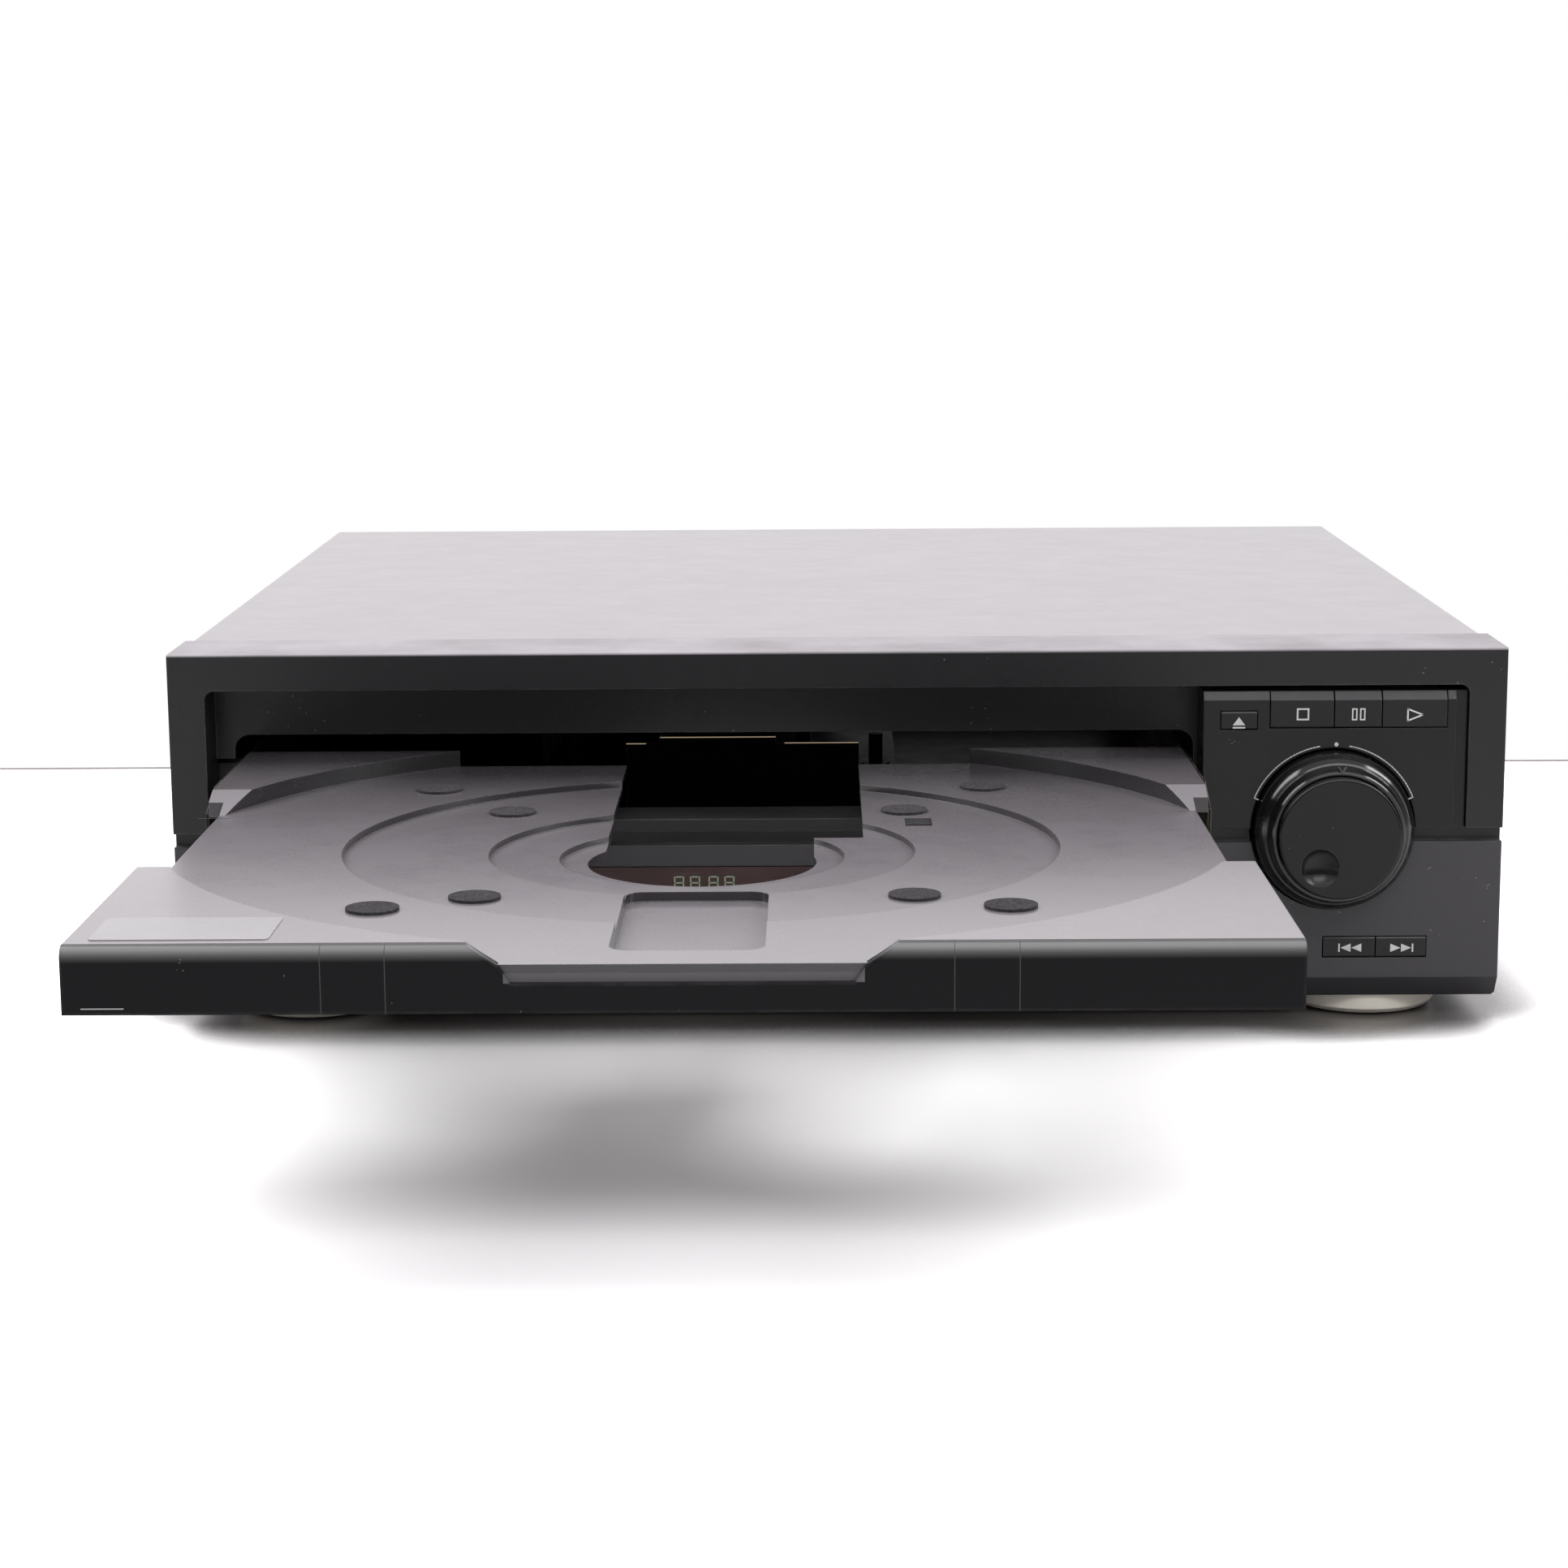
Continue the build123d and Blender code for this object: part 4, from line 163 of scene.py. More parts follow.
# --------------------------------------------------------- one finish, in steps
PLASTIC_IOR = 1.47
DUST_AND_SHEEN_GREY = (0.42, 0.40, 0.39)
SPECK_GREY = (0.55, 0.54, 0.52, 1.0)
SCUFF_DEPTH = 0.000005


def mottled(tree, colour, mottle, broad, middle, fine):
    """Cloudy colour on three scales."""
    dark, light = shade(colour, 1 - mottle), shade(colour, 1 + mottle)
    base = tree.mix(tree.ramp(broad, 0.32, 0.68), dark, light)
    lightest = shade(colour, 1 + mottle * 1.4)
    base = tree.mix(tree.ramp(middle, 0.35, 0.7, 0.0, 0.5), base, lightest)
    return tree.mix(tree.ramp(fine, 0.3, 0.7, 0.0, 0.35), base, dark)


def edge_mask(tree, rounded, flat, middle):
    """White on rounded edges, patchy along them."""
    match = tree.add("ShaderNodeVectorMath", operation="DOT_PRODUCT")
    tree.put(match.inputs[0], rounded)
    tree.put(match.inputs[1], flat)
    edge = tree.ramp(match.outputs["Value"], 0.99, 0.86)
    return tree.math("MULTIPLY", edge, tree.ramp(middle, 0.38, 0.62, 0.25, 1.0))


def speckled(tree, base, amount):
    """Small pale dots, in patches."""
    dot = tree.math("LESS_THAN", tree.cells(620.0)["Distance"], 0.13)
    patch = tree.math("GREATER_THAN", tree.noise(95.0, 2.0), 0.66)
    dot = tree.math("MULTIPLY", dot, patch)
    return tree.mix(tree.math("MULTIPLY", dot, amount), base, SPECK_GREY)


def surface(
    name,
    colour,
    rough,
    metal=0.0,
    mottle=0.10,
    patch=14.0,
    grain=2200.0,
    grain_depth=0.00003,
    bevel=0.0004,
    wear=0.35,
    wear_colour=None,
    dust_and_sheen=0.10,
    specks=0.0,
    scratch=0.25,
    coat=0.0,
    coat_rough=0.1,
    sheen=0.0,
    specular=0.5,
    pattern=None,
):
    """One worn, mottled, grained finish; pattern may repaint its colour first."""
    tree = material_tree(name)
    broad = tree.noise(patch, 4.0)
    middle = tree.noise(patch * 9.0, 5.0, rough=0.6)
    fine = tree.noise(grain, 2.0)
    base, height = mottled(tree, colour, mottle, broad, middle, fine), fine
    if pattern:
        base, height, metal = pattern(tree, base, fine, metal)

    rounded = tree.add("ShaderNodeBevel", {"Radius": bevel}, samples=4).outputs["Normal"]
    flat = tree.add("ShaderNodeNewGeometry").outputs["Normal"]
    edge = edge_mask(tree, rounded, flat, middle)
    worn = wear_colour or [value * 0.6 + 0.18 for value in colour]
    base = tree.mix(tree.math("MULTIPLY", edge, wear), base, shade(worn, 1.0))

    # upward faces turn paler: partly dust, partly painted light on the tops
    up = tree.ramp(tree.axis(flat, "Z"), 0.55, 0.98)
    dust_and_top_sheen = tree.math("MULTIPLY", up, tree.ramp(broad, 0.35, 0.7, 0.5, 1.0))
    base = tree.mix(tree.math("MULTIPLY", dust_and_top_sheen, dust_and_sheen), base, shade(DUST_AND_SHEEN_GREY, 1.0))
    if specks:
        base = speckled(tree, base, specks)

    drag = tree.noise(240.0, 3.0, (0.25, 3.0, 3.0), 0.7)
    scuff = tree.ramp(drag, 0.66, 0.74, 0.0, scratch)
    dulled = tree.math(
        "ADD",
        tree.math("MULTIPLY", scuff, 0.25),
        tree.math("MULTIPLY", dust_and_top_sheen, dust_and_sheen * 0.35),
    )
    rough_value = tree.math("ADD", tree.ramp(middle, 0.3, 0.7, rough * 0.86, rough * 1.12), dulled)
    normal = tree.bump(height, grain_depth, 0.8, rounded)
    normal = tree.bump(scuff, SCUFF_DEPTH, 0.5, normal)
    bsdf = tree.add(
        "ShaderNodeBsdfPrincipled",
        {
            "Base Color": base,
            "Metallic": metal,
            "Roughness": rough_value,
            "Normal": normal,
            "IOR": PLASTIC_IOR,
            "Specular IOR Level": specular,
            "Coat Weight": coat,
            "Coat Roughness": coat_rough,
            "Sheen Weight": sheen,
            "Sheen Roughness": 0.4,
        },
    )
    return tree.finish(bsdf.outputs["BSDF"])


# ------------------------------------------------------------ colour patterns
# Each takes the colour, the fine grain and the metal value, and gives back colour, height and
# metal value.
def spangle(tree, base, fine, metal):
    """Zinc flakes of about four millimetres."""
    tone = tree.axis(tree.cells(240.0)["Color"], "X")
    base = tree.mix(tree.ramp(tone, 0.0, 1.0, 0.0, 0.35), base, (0.32, 0.34, 0.36, 1.0))
    return base, tree.math("ADD", fine, tree.math("MULTIPLY", tone, 0.6)), metal


def brushed(tree, base, fine, metal):
    """Fine lines along the depth of the case."""
    lines = tree.noise(900.0, 2.0, (1.0, 0.02, 1.0))
    base = tree.mix(tree.ramp(lines, 0.3, 0.7, 0.0, 0.3), base, (0.28, 0.28, 0.29, 1.0))
    return base, lines, metal


def traces(tree, base, fine, metal):
    """Lighter tracks and tinned pads on the board's green."""
    bricks = tree.add(
        "ShaderNodeTexBrick",
        {"Vector": tree.place, "Scale": 150.0, "Mortar Size": 0.055, "Brick Width": 0.9},
    )
    lot = tree.ramp(tree.noise(60.0, 1.0), 0.46, 0.52)
    track = tree.math("MULTIPLY", bricks.outputs["Fac"], lot)
    base = tree.mix(tree.math("MULTIPLY", track, 0.6), base, (0.10, 0.34, 0.14, 1.0))
    pad = tree.math("LESS_THAN", tree.cells(210.0)["Distance"], 0.16)
    pad = tree.math("MULTIPLY", pad, tree.ramp(tree.noise(40.0, 1.0), 0.5, 0.54))
    base = tree.mix(pad, base, (0.62, 0.60, 0.55, 1.0))
    return base, tree.math("ADD", fine, track), tree.math("MULTIPLY", pad, 0.9)


def laminations(tree, base, fine, metal):
    """Lines of stacked sheets."""
    lines = tree.add(
        "ShaderNodeTexWave",
        {"Vector": tree.place, "Scale": 620.0, "Distortion": 0.4},
        bands_direction="X",
    ).outputs["Fac"]
    base = tree.mix(tree.math("MULTIPLY", lines, 0.4), base, (0.07, 0.06, 0.055, 1.0))
    return base, lines, metal


def windings(tree, base, fine, metal):
    """Overlapping turns of tape."""
    lines = tree.add(
        "ShaderNodeTexWave",
        {"Vector": tree.place, "Scale": 55.0, "Distortion": 1.2, "Detail": 2.0},
        bands_direction="Z",
        wave_profile="SAW",
    ).outputs["Fac"]
    base = tree.mix(tree.math("MULTIPLY", lines, 0.35), base, (0.42, 0.28, 0.06, 1.0))
    return base, lines, metal


def fibres(tree, base, fine, metal):
    """Short crossed hairs."""
    one = tree.noise(1500.0, 3.0, (1.0, 0.2, 1.0), 0.7)
    two = tree.noise(1500.0, 3.0, (0.2, 1.0, 1.0), 0.7)
    hairs = tree.math("MULTIPLY", one, two)
    base = tree.mix(tree.ramp(hairs, 0.15, 0.4), base, (0.075, 0.072, 0.075, 1.0))
    return base, tree.math("MULTIPLY", hairs, 3.0), metal


def segments(tree, base, fine, metal):
    """A fine metal mesh behind dark glass."""
    grid = tree.add(
        "ShaderNodeTexBrick",
        {
            "Vector": tree.place,
            "Scale": 900.0,
            "Mortar Size": 0.04,
            "Brick Width": 0.5,
            "Row Height": 0.5,
        },
        offset=0.0,
    ).outputs["Fac"]
    base = tree.mix(tree.math("MULTIPLY", grid, 0.5), base, (0.10, 0.13, 0.12, 1.0))
    return base, grid, metal


GROOVE_Z = 0.0585


def floor_lit_lower_and_top_sheen(tree, base, fine, metal):
    """Charcoal below the groove, lighter there as painted light from the white floor in front;
    darker above it; a pale painted sheen on the very top.
    """
    height = tree.axis(tree.place, "Z")
    # painted floor light: the part below the groove is made lighter
    floor_lit = tree.ramp(height, GROOVE_Z + 0.001, GROOVE_Z - 0.001)
    base = tree.mix(floor_lit, base, (0.046, 0.044, 0.048, 1.0))
    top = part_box("front_panel")[1].z
    # painted sheen: a pale, patchy film along the very top
    top_sheen = tree.ramp(height, top - 0.0008, top - 0.0001)
    top_sheen = tree.math("MULTIPLY", top_sheen, tree.ramp(tree.noise(30.0, 4.0), 0.3, 0.7, 0.6, 1.0))
    base = tree.mix(top_sheen, base, (0.44, 0.41, 0.44, 1.0))
    return base, fine, metal


def painted_bevel_highlight(tree, base, fine, metal):
    """Slopes that tilt upwards are made greyer than the faces: a painted highlight of light from
    above.
    """
    tilt = tree.facing("Z")
    lit_slope = tree.math("MULTIPLY", tree.ramp(tilt, 0.30, 0.37), tree.ramp(tilt, 0.80, 0.65))
    # painted highlight on the slopes that face upwards
    base = tree.mix(tree.math("MULTIPLY", lit_slope, 0.9), base, (0.040, 0.039, 0.042, 1.0))
    return base, fine, metal


HAIRLINES = (-0.1262, -0.1106, 0.0265, 0.0422)
HAIRLINE_HALF = 0.00011
SCRAPE_X, SCRAPE_UP = -0.1790, 0.0016
SCRAPE_HALF_LENGTH, SCRAPE_HALF_WIDTH = 0.0052, 0.00014
NOSE_X, NOSE_HALF = -0.0386, 0.0435
NOSE_LOW = 0.0755


def shoulder(tree, base, fine, metal):
    """The lip's upper rounding turning paler towards the top as a painted highlight, its greyer
    nose, four hairlines and one small scrape.
    """
    foot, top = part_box("tray_lip")[0].z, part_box("tray_lip")[1].z
    x, z = tree.axis(tree.place, "X"), tree.axis(tree.place, "Z")
    # painted highlight on the upper rounding
    top_highlight = tree.math("POWER", tree.ramp(z, top - 0.0042, top - 0.0009), 1.6)
    top_highlight = tree.math("MULTIPLY", top_highlight, tree.ramp(z, top - 0.0004, top - 0.0001, 1.0, 0.35))
    base = tree.mix(top_highlight, base, (0.24, 0.24, 0.24, 1.0))
    nose = tree.math("LESS_THAN", tree.away(x, NOSE_X), NOSE_HALF)
    nose = tree.math("MULTIPLY", nose, tree.ramp(z, NOSE_LOW, NOSE_LOW + 0.0003))
    base = tree.mix(nose, base, (0.115, 0.110, 0.115, 1.0))
    marks = 0.0
    for spot in HAIRLINES:
        marks = tree.math("ADD", tree.math("LESS_THAN", tree.away(x, spot), HAIRLINE_HALF), marks)
    base = tree.mix(tree.math("MULTIPLY", marks, 0.8), base, (0.075, 0.074, 0.074, 1.0))
    along = tree.math("LESS_THAN", tree.away(x, SCRAPE_X), SCRAPE_HALF_LENGTH)
    across = tree.math("LESS_THAN", tree.away(z, foot + SCRAPE_UP), SCRAPE_HALF_WIDTH)
    base = tree.mix(tree.math("MULTIPLY", along, across), base, (0.40, 0.40, 0.40, 1.0))
    return base, fine, metal


TRAY_SHADE_FROM, TRAY_SHADE_TO = -0.150, -0.075


def tray_painted_shade(tree, base, fine, metal):
    """Painted shade: darker towards the rear and near black on upright walls; with faint rub
    marks.
    """
    # painted shade towards the rear of the tray
    rear_shade = tree.ramp(tree.axis(tree.place, "Y"), TRAY_SHADE_FROM, TRAY_SHADE_TO)
    base = tree.mix(tree.math("MULTIPLY", rear_shade, 0.55), base, (0.03, 0.028, 0.031, 1.0))
    # painted shade on the upright walls
    wall_shade = tree.ramp(tree.facing("Z"), 0.85, 0.45)
    base = tree.mix(tree.math("MULTIPLY", wall_shade, 0.92), base, (0.016, 0.015, 0.016, 1.0))
    rub = tree.noise(420.0, 3.0, (0.15, 1.0, 1.0), 0.7)
    base = tree.mix(tree.ramp(rub, 0.58, 0.72, 0.0, 0.02), base, (0.13, 0.125, 0.13, 1.0))
    return base, fine, metal


# ------------------------------------------------------------------- finishes
RECIPES = {
    # its strong pale edge wear is partly real wear, partly a painted highlight along the groove
    # edges
    "front_black": dict(
        colour=(0.014, 0.0135, 0.015), rough=0.36, mottle=0.12, grain=3200.0,
        grain_depth=0.00004, bevel=0.0006, wear=0.7, wear_colour=(0.16, 0.16, 0.16),
        dust_and_sheen=0.10, specks=0.3, scratch=0.2, pattern=floor_lit_lower_and_top_sheen,
    ),
    "control_black": dict(
        colour=(0.0085, 0.0083, 0.0095), rough=0.24, mottle=0.10, grain=2600.0,
        grain_depth=0.00001, bevel=0.0006, wear=0.25, dust_and_sheen=0.08, specks=0.2,
        specular=0.38, pattern=painted_bevel_highlight,
    ),
    "ring_gloss": dict(
        colour=(0.007, 0.0068, 0.0075), rough=0.13, mottle=0.10, grain=2600.0,
        grain_depth=0.000004, bevel=0.0008, wear=0.2, dust_and_sheen=0.03, scratch=0.2,
        specular=0.95,
    ),
    "key_black": dict(
        colour=(0.011, 0.0105, 0.012), rough=0.32, mottle=0.10, grain=3000.0,
        grain_depth=0.00003, bevel=0.0004, wear=0.35, wear_colour=(0.12, 0.12, 0.125),
        specular=0.42, pattern=painted_bevel_highlight,
    ),
    # the cover is dark painted metal; its grey colour is a painted reflection of the bright
    # surroundings
    "cover_grey": dict(
        colour=(0.20, 0.178, 0.20), rough=0.30, mottle=0.06, patch=7.0, grain=1500.0,
        grain_depth=0.00006, bevel=0.0009, wear=0.3, wear_colour=(0.4, 0.38, 0.4),
        dust_and_sheen=0.10, scratch=0.05, coat=0.9, coat_rough=0.22,
    ),
    "galvanised": dict(
        colour=(0.36, 0.37, 0.38), rough=0.42, metal=0.85, mottle=0.1, bevel=0.0003,
        wear=0.3, pattern=spangle, dust_and_sheen=0.06,
    ),
    "frame_black": dict(
        colour=(0.006, 0.0055, 0.0058), rough=0.40, mottle=0.15, bevel=0.0004,
        wear=1.0, wear_colour=(0.42, 0.36, 0.26), dust_and_sheen=0.0, scratch=0.1, specular=0.2,
    ),
    "rear_black": dict(
        colour=(0.02, 0.02, 0.022), rough=0.48, mottle=0.12, grain=1900.0,
        grain_depth=0.00005, wear=0.5, wear_colour=(0.3, 0.3, 0.3),
    ),
    # the tray is dark plastic; its grey colour is a painted reflection of the bright surroundings
    # at grazing angles
    "tray_grey": dict(
        colour=(0.225, 0.206, 0.226), rough=0.27, mottle=0.07, patch=9.0, grain=2400.0,
        grain_depth=0.000005, bevel=0.0005, wear=0.4, wear_colour=(0.26, 0.25, 0.26),
        dust_and_sheen=0.05, specks=0.2, scratch=0.06, coat=0.9, coat_rough=0.24,
        pattern=tray_painted_shade,
    ),
    "tray_black": dict(
        colour=(0.005, 0.005, 0.006), rough=0.22, mottle=0.12, grain=2800.0,
        grain_depth=0.00002, bevel=0.0014, wear=0.3, wear_colour=(0.1, 0.1, 0.105),
        specular=0.16, dust_and_sheen=0.04, specks=0.16, scratch=0.35, pattern=shoulder,
    ),
    "felt": dict(
        colour=(0.026, 0.024, 0.026), rough=0.95, mottle=0.3, patch=150.0, bevel=0.0002,
        grain_depth=0.0003, wear=0.3, sheen=0.10, specular=0.1, pattern=fibres, dust_and_sheen=0.0,
    ),
    "blank_label": dict(
        colour=(0.40, 0.385, 0.40), rough=0.25, mottle=0.05, patch=60.0, grain=1800.0,
        bevel=0.0001, wear=0.15, dust_and_sheen=0.0, specks=0.2,
    ),
    "foot_beige": dict(
        colour=(0.93, 0.88, 0.77), rough=0.30, mottle=0.06, patch=40.0, bevel=0.0008,
        wear=0.2, dust_and_sheen=0.05,
    ),
    "pad_black": dict(
        colour=(0.022, 0.022, 0.023), rough=0.85, mottle=0.18, patch=70.0,
        grain_depth=0.00012, bevel=0.0005, wear=0.25, specular=0.3,
    ),
    "screw_steel": dict(
        colour=(0.55, 0.55, 0.57), rough=0.32, metal=1.0, patch=120.0, bevel=0.0003,
        wear=0.4, wear_colour=(0.75, 0.74, 0.7), dust_and_sheen=0.02,
    ),
    "rod_steel": dict(
        colour=(0.72, 0.73, 0.75), rough=0.12, metal=1.0, mottle=0.04, patch=60.0,
        grain_depth=0.000006, bevel=0.0003, wear=0.1, dust_and_sheen=0.0, pattern=brushed,
    ),
    "acetal_white": dict(
        colour=(0.72, 0.71, 0.66), rough=0.4, mottle=0.05, patch=80.0, bevel=0.0002,
        grain_depth=0.00001, wear=0.1, dust_and_sheen=0.03, sheen=0.05,
    ),
    "acetal_black": dict(
        colour=(0.022, 0.022, 0.023), rough=0.42, mottle=0.15, patch=60.0,
        bevel=0.0003, wear=0.3, dust_and_sheen=0.05,
    ),
    "belt_rubber": dict(
        colour=(0.018, 0.018, 0.018), rough=0.75, mottle=0.2, patch=200.0,
        grain_depth=0.00008, bevel=0.0002, wear=0.2, dust_and_sheen=0.0,
    ),
    "board_green": dict(
        colour=(0.035, 0.16, 0.06), rough=0.34, mottle=0.12, patch=40.0, bevel=0.0002,
        wear=0.3, wear_colour=(0.45, 0.42, 0.25), pattern=traces, dust_and_sheen=0.05,
    ),
    "chip_black": dict(
        colour=(0.02, 0.02, 0.021), rough=0.55, mottle=0.2, patch=130.0, bevel=0.0002,
        wear=0.2,
    ),
    "can_blue": dict(
        colour=(0.03, 0.055, 0.20), rough=0.32, mottle=0.12, patch=90.0, bevel=0.0005,
        wear=0.3, wear_colour=(0.5, 0.5, 0.55),
    ),
    "sink_aluminium": dict(
        colour=(0.62, 0.63, 0.65), rough=0.36, metal=0.95, patch=50.0,
        bevel=0.0003, wear=0.2, pattern=brushed,
    ),
    "core_steel": dict(
        colour=(0.16, 0.155, 0.16), rough=0.5, metal=0.7, patch=50.0, bevel=0.0003,
        wear=0.4, pattern=laminations,
    ),
    "coil_tape": dict(
        colour=(0.62, 0.44, 0.10), rough=0.35, patch=60.0, bevel=0.0006, wear=0.1,
        pattern=windings,
    ),
    "motor_can": dict(
        colour=(0.52, 0.52, 0.54), rough=0.28, metal=0.95, patch=80.0, bevel=0.0004,
        wear=0.3, pattern=brushed,
    ),
    "tube_glass": dict(
        colour=(0.012, 0.018, 0.016), rough=0.16, patch=60.0, bevel=0.0003, wear=0.1,
        grain_depth=0.00001, pattern=segments, coat=0.6, coat_rough=0.05,
    ),
    "jack_plastic": dict(
        colour=(0.02, 0.02, 0.021), rough=0.5, mottle=0.15, patch=90.0, bevel=0.0003,
        wear=0.25,
    ),
    "jack_metal": dict(
        colour=(0.78, 0.60, 0.26), rough=0.25, metal=1.0, patch=150.0, bevel=0.0002,
        wear=0.3, wear_colour=(0.85, 0.8, 0.65),
    ),
    "sled_alloy": dict(
        colour=(0.40, 0.40, 0.42), rough=0.5, metal=0.8, patch=90.0, bevel=0.0004,
        grain_depth=0.00008, wear=0.3, wear_colour=(0.7, 0.7, 0.72),
    ),
}
GLASS_IOR = 1.49


def glass(name, tint, clear, rough, grain):
    """A tinted pane: part of the light goes straight on, the rest is reflected."""
    tree = material_tree(name)
    haze = tree.noise(60.0, 4.0)
    fine = tree.noise(grain, 2.0)
    through = tree.add("ShaderNodeBsdfTransparent", {"Color": shade(clear, 1.0)})
    body = tree.add(
        "ShaderNodeBsdfPrincipled",
        {
            "Base Color": tree.mix(tree.ramp(haze, 0.3, 0.7), shade(tint, 0.85), shade(tint, 1.2)),
            "Roughness": tree.ramp(haze, 0.3, 0.7, rough * 0.8, rough * 1.3),
            "Normal": tree.bump(fine, 0.000004, 0.5),
            "IOR": GLASS_IOR,
            "Coat Weight": 0.3,
        },
    )
    gleam = tree.add("ShaderNodeFresnel", {"IOR": GLASS_IOR}).outputs[0]
    hold = tree.ramp(gleam, 0.0, 1.0, 0.45, 1.0)
    return tree.finish(tree.blend(hold, through.outputs[0], body.outputs[0]))


FINISH = {name: surface(name, **recipe) for name, recipe in RECIPES.items()}
FINISH["smoked_window"] = glass(
    "smoked_window", (0.11, 0.066, 0.066), (0.74, 0.50, 0.46), 0.12, 1800.0
)
FINISH["lens_glass"] = glass(
    "lens_glass", (0.10, 0.16, 0.42), (0.7, 0.75, 0.95), 0.04, 2500.0
)

# nodes whose finish isn't the one of their slot in the record; the black given to mech_base,
# tray_rails and lift_cam is partly painted shade inside the slot
REPAINTED = {
    "shuttle_ring": "ring_gloss",
    "mech_base": "frame_black",
    "tray_rails": "frame_black",
    "lift_cam": "acetal_black",
}
for row in frame["record"]["subparts"]:
    node = row["node"]
    mesh = NODES[node].data
    mesh.materials.clear()
    mesh.materials.append(FINISH[REPAINTED.get(node, row["material_slot"])])


# ------------------------------------------------------------- printed pieces
def print_finish(name, colour, rough=0.5, glow=0.0):
    """Ink or thin paint with small worn dots; glow makes it light up."""
    tree = material_tree(name)
    broad = tree.noise(300.0, 3.0)
    fine = tree.noise(2500.0, 2.0)
    base = tree.mix(tree.ramp(broad, 0.3, 0.7), shade(colour, 0.88), shade(colour, 1.06))
    base = tree.mix(tree.ramp(fine, 0.62, 0.72, 0.0, 0.35), base, shade(colour, 0.6))
    bsdf = tree.add(
        "ShaderNodeBsdfPrincipled",
        {
            "Base Color": base,
            "Roughness": tree.ramp(fine, 0.3, 0.7, rough * 0.85, rough * 1.15),
            "Normal": tree.bump(fine, 0.00001, 0.6),
        },
    )
    if glow:
        bsdf.inputs["Emission Color"].default_value = shade(colour, 1.0)
        bsdf.inputs["Emission Strength"].default_value = glow
    return tree.finish(bsdf.outputs["BSDF"])


INK = print_finish("print_white", (0.62, 0.62, 0.62))
FAINT = print_finish("print_faint", (0.10, 0.10, 0.10))
SCORE = print_finish("score_dark", (0.045, 0.043, 0.045))
GLOW = print_finish("segment_green", (0.20, 0.66, 0.50), 0.4, 4.5)
# glows, as a painted highlight on the sheared edge
EDGE_GLOW = print_finish("sheared_bronze_glow", (0.62, 0.50, 0.34), 0.35, 0.45)
COLLAR_FINISHES = [
    print_finish("collar_yellow", (0.75, 0.55, 0.04), 0.4),
    print_finish("collar_white", (0.75, 0.75, 0.72), 0.4),
    print_finish("collar_red", (0.55, 0.03, 0.03), 0.4),
]

# how far a print stands out of its face and reaches into it
PROUD, SUNK = 0.04, 0.03


def in_space(plane, a, b, level):
    """A point in metres: a and b are x and z on the front, or x and depth on top."""
    if plane == "front":
        return [a / 1000, (PANEL_Y + level) / 1000, b / 1000]
    return [a / 1000, (PANEL_Y + b) / 1000, level / 1000]


def prism(name, outlines, plane, low, high, body, finish):
    """A piece of closed outlines in mm, each raised from low to high."""
    points, faces = [], []
    for outline in outlines:
        start, count = len(points), len(outline)
        for level in (low, high):
            points += [in_space(plane, a, b, level) for a, b in outline]
        faces.append([start + i for i in range(count)])
        faces.append([start + count + i for i in reversed(range(count))])
        for i in range(count):
            j = (i + 1) % count
            faces.append([start + i, start + count + i, start + count + j, start + j])
    mesh = bpy.data.meshes.new(name)
    mesh.from_pydata(points, [], faces)
    mesh.validate()
    work = bmesh.new()
    work.from_mesh(mesh)
    bmesh.ops.recalc_face_normals(work, faces=work.faces)
    work.to_mesh(mesh)
    work.free()
    mesh.materials.append(finish)
    obj = bpy.data.objects.new(name, mesh)
    bpy.context.scene.collection.objects.link(obj)
    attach(obj, body)


def bar(x0, x1, z0, z1):
    return [(x0, z0), (x1, z0), (x1, z1), (x0, z1)]


def frame_of_bars(x0, x1, z0, z1, line):
    """Four bars round an open rectangle."""
    return [
        bar(x0, x1, z0, z0 + line),
        bar(x0, x1, z1 - line, z1),
        bar(x0, x0 + line, z0 + line, z1 - line),
        bar(x1 - line, x1, z0 + line, z1 - line),
    ]


def stroke(points, width):
    """Quads along a line of points, each a quarter of the width longer at both ends."""
    bands = []
    for (ax, az), (bx, bz) in zip(points, points[1:]):
        length = math.hypot(bx - ax, bz - az)
        ux, uz = (bx - ax) / length * width / 2, (bz - az) / length * width / 2
        start_x, start_z = ax - ux / 2, az - uz / 2
        end_x, end_z = bx + ux / 2, bz + uz / 2
        bands.append(
            [
                (start_x - uz, start_z + ux),
                (end_x - uz, end_z + ux),
                (end_x + uz, end_z - ux),
                (start_x + uz, start_z - ux),
            ]
        )
    return bands


def front_of(node):
    """The depth of a node's front face."""
    return low_mm(node)[1] - PANEL_Y


# ------------------------------------------------------- symbols on the buttons
SKIP_BAR, SKIP_GAP = 0.5, 0.2
SKIP_LONG, SKIP_TALL = 3.2, 2.7
PAUSE_LINE, STOP_LINE, PLAY_LINE = 0.42, 0.5, 0.5


def skip_symbol(edge, side, middle):
    """A bar at the edge and two wedges that point to it; side 1 is right of it, -1 left."""
    low, high = middle - SKIP_TALL / 2, middle + SKIP_TALL / 2
    outlines = [bar(edge, edge + side * SKIP_BAR, low, high)]
    for number in range(2):
        tip = edge + side * (SKIP_BAR + SKIP_GAP + number * (SKIP_LONG + SKIP_GAP))
        base = tip + side * SKIP_LONG
        outlines.append([(tip, middle), (base, low), (base, high)])
    return outlines


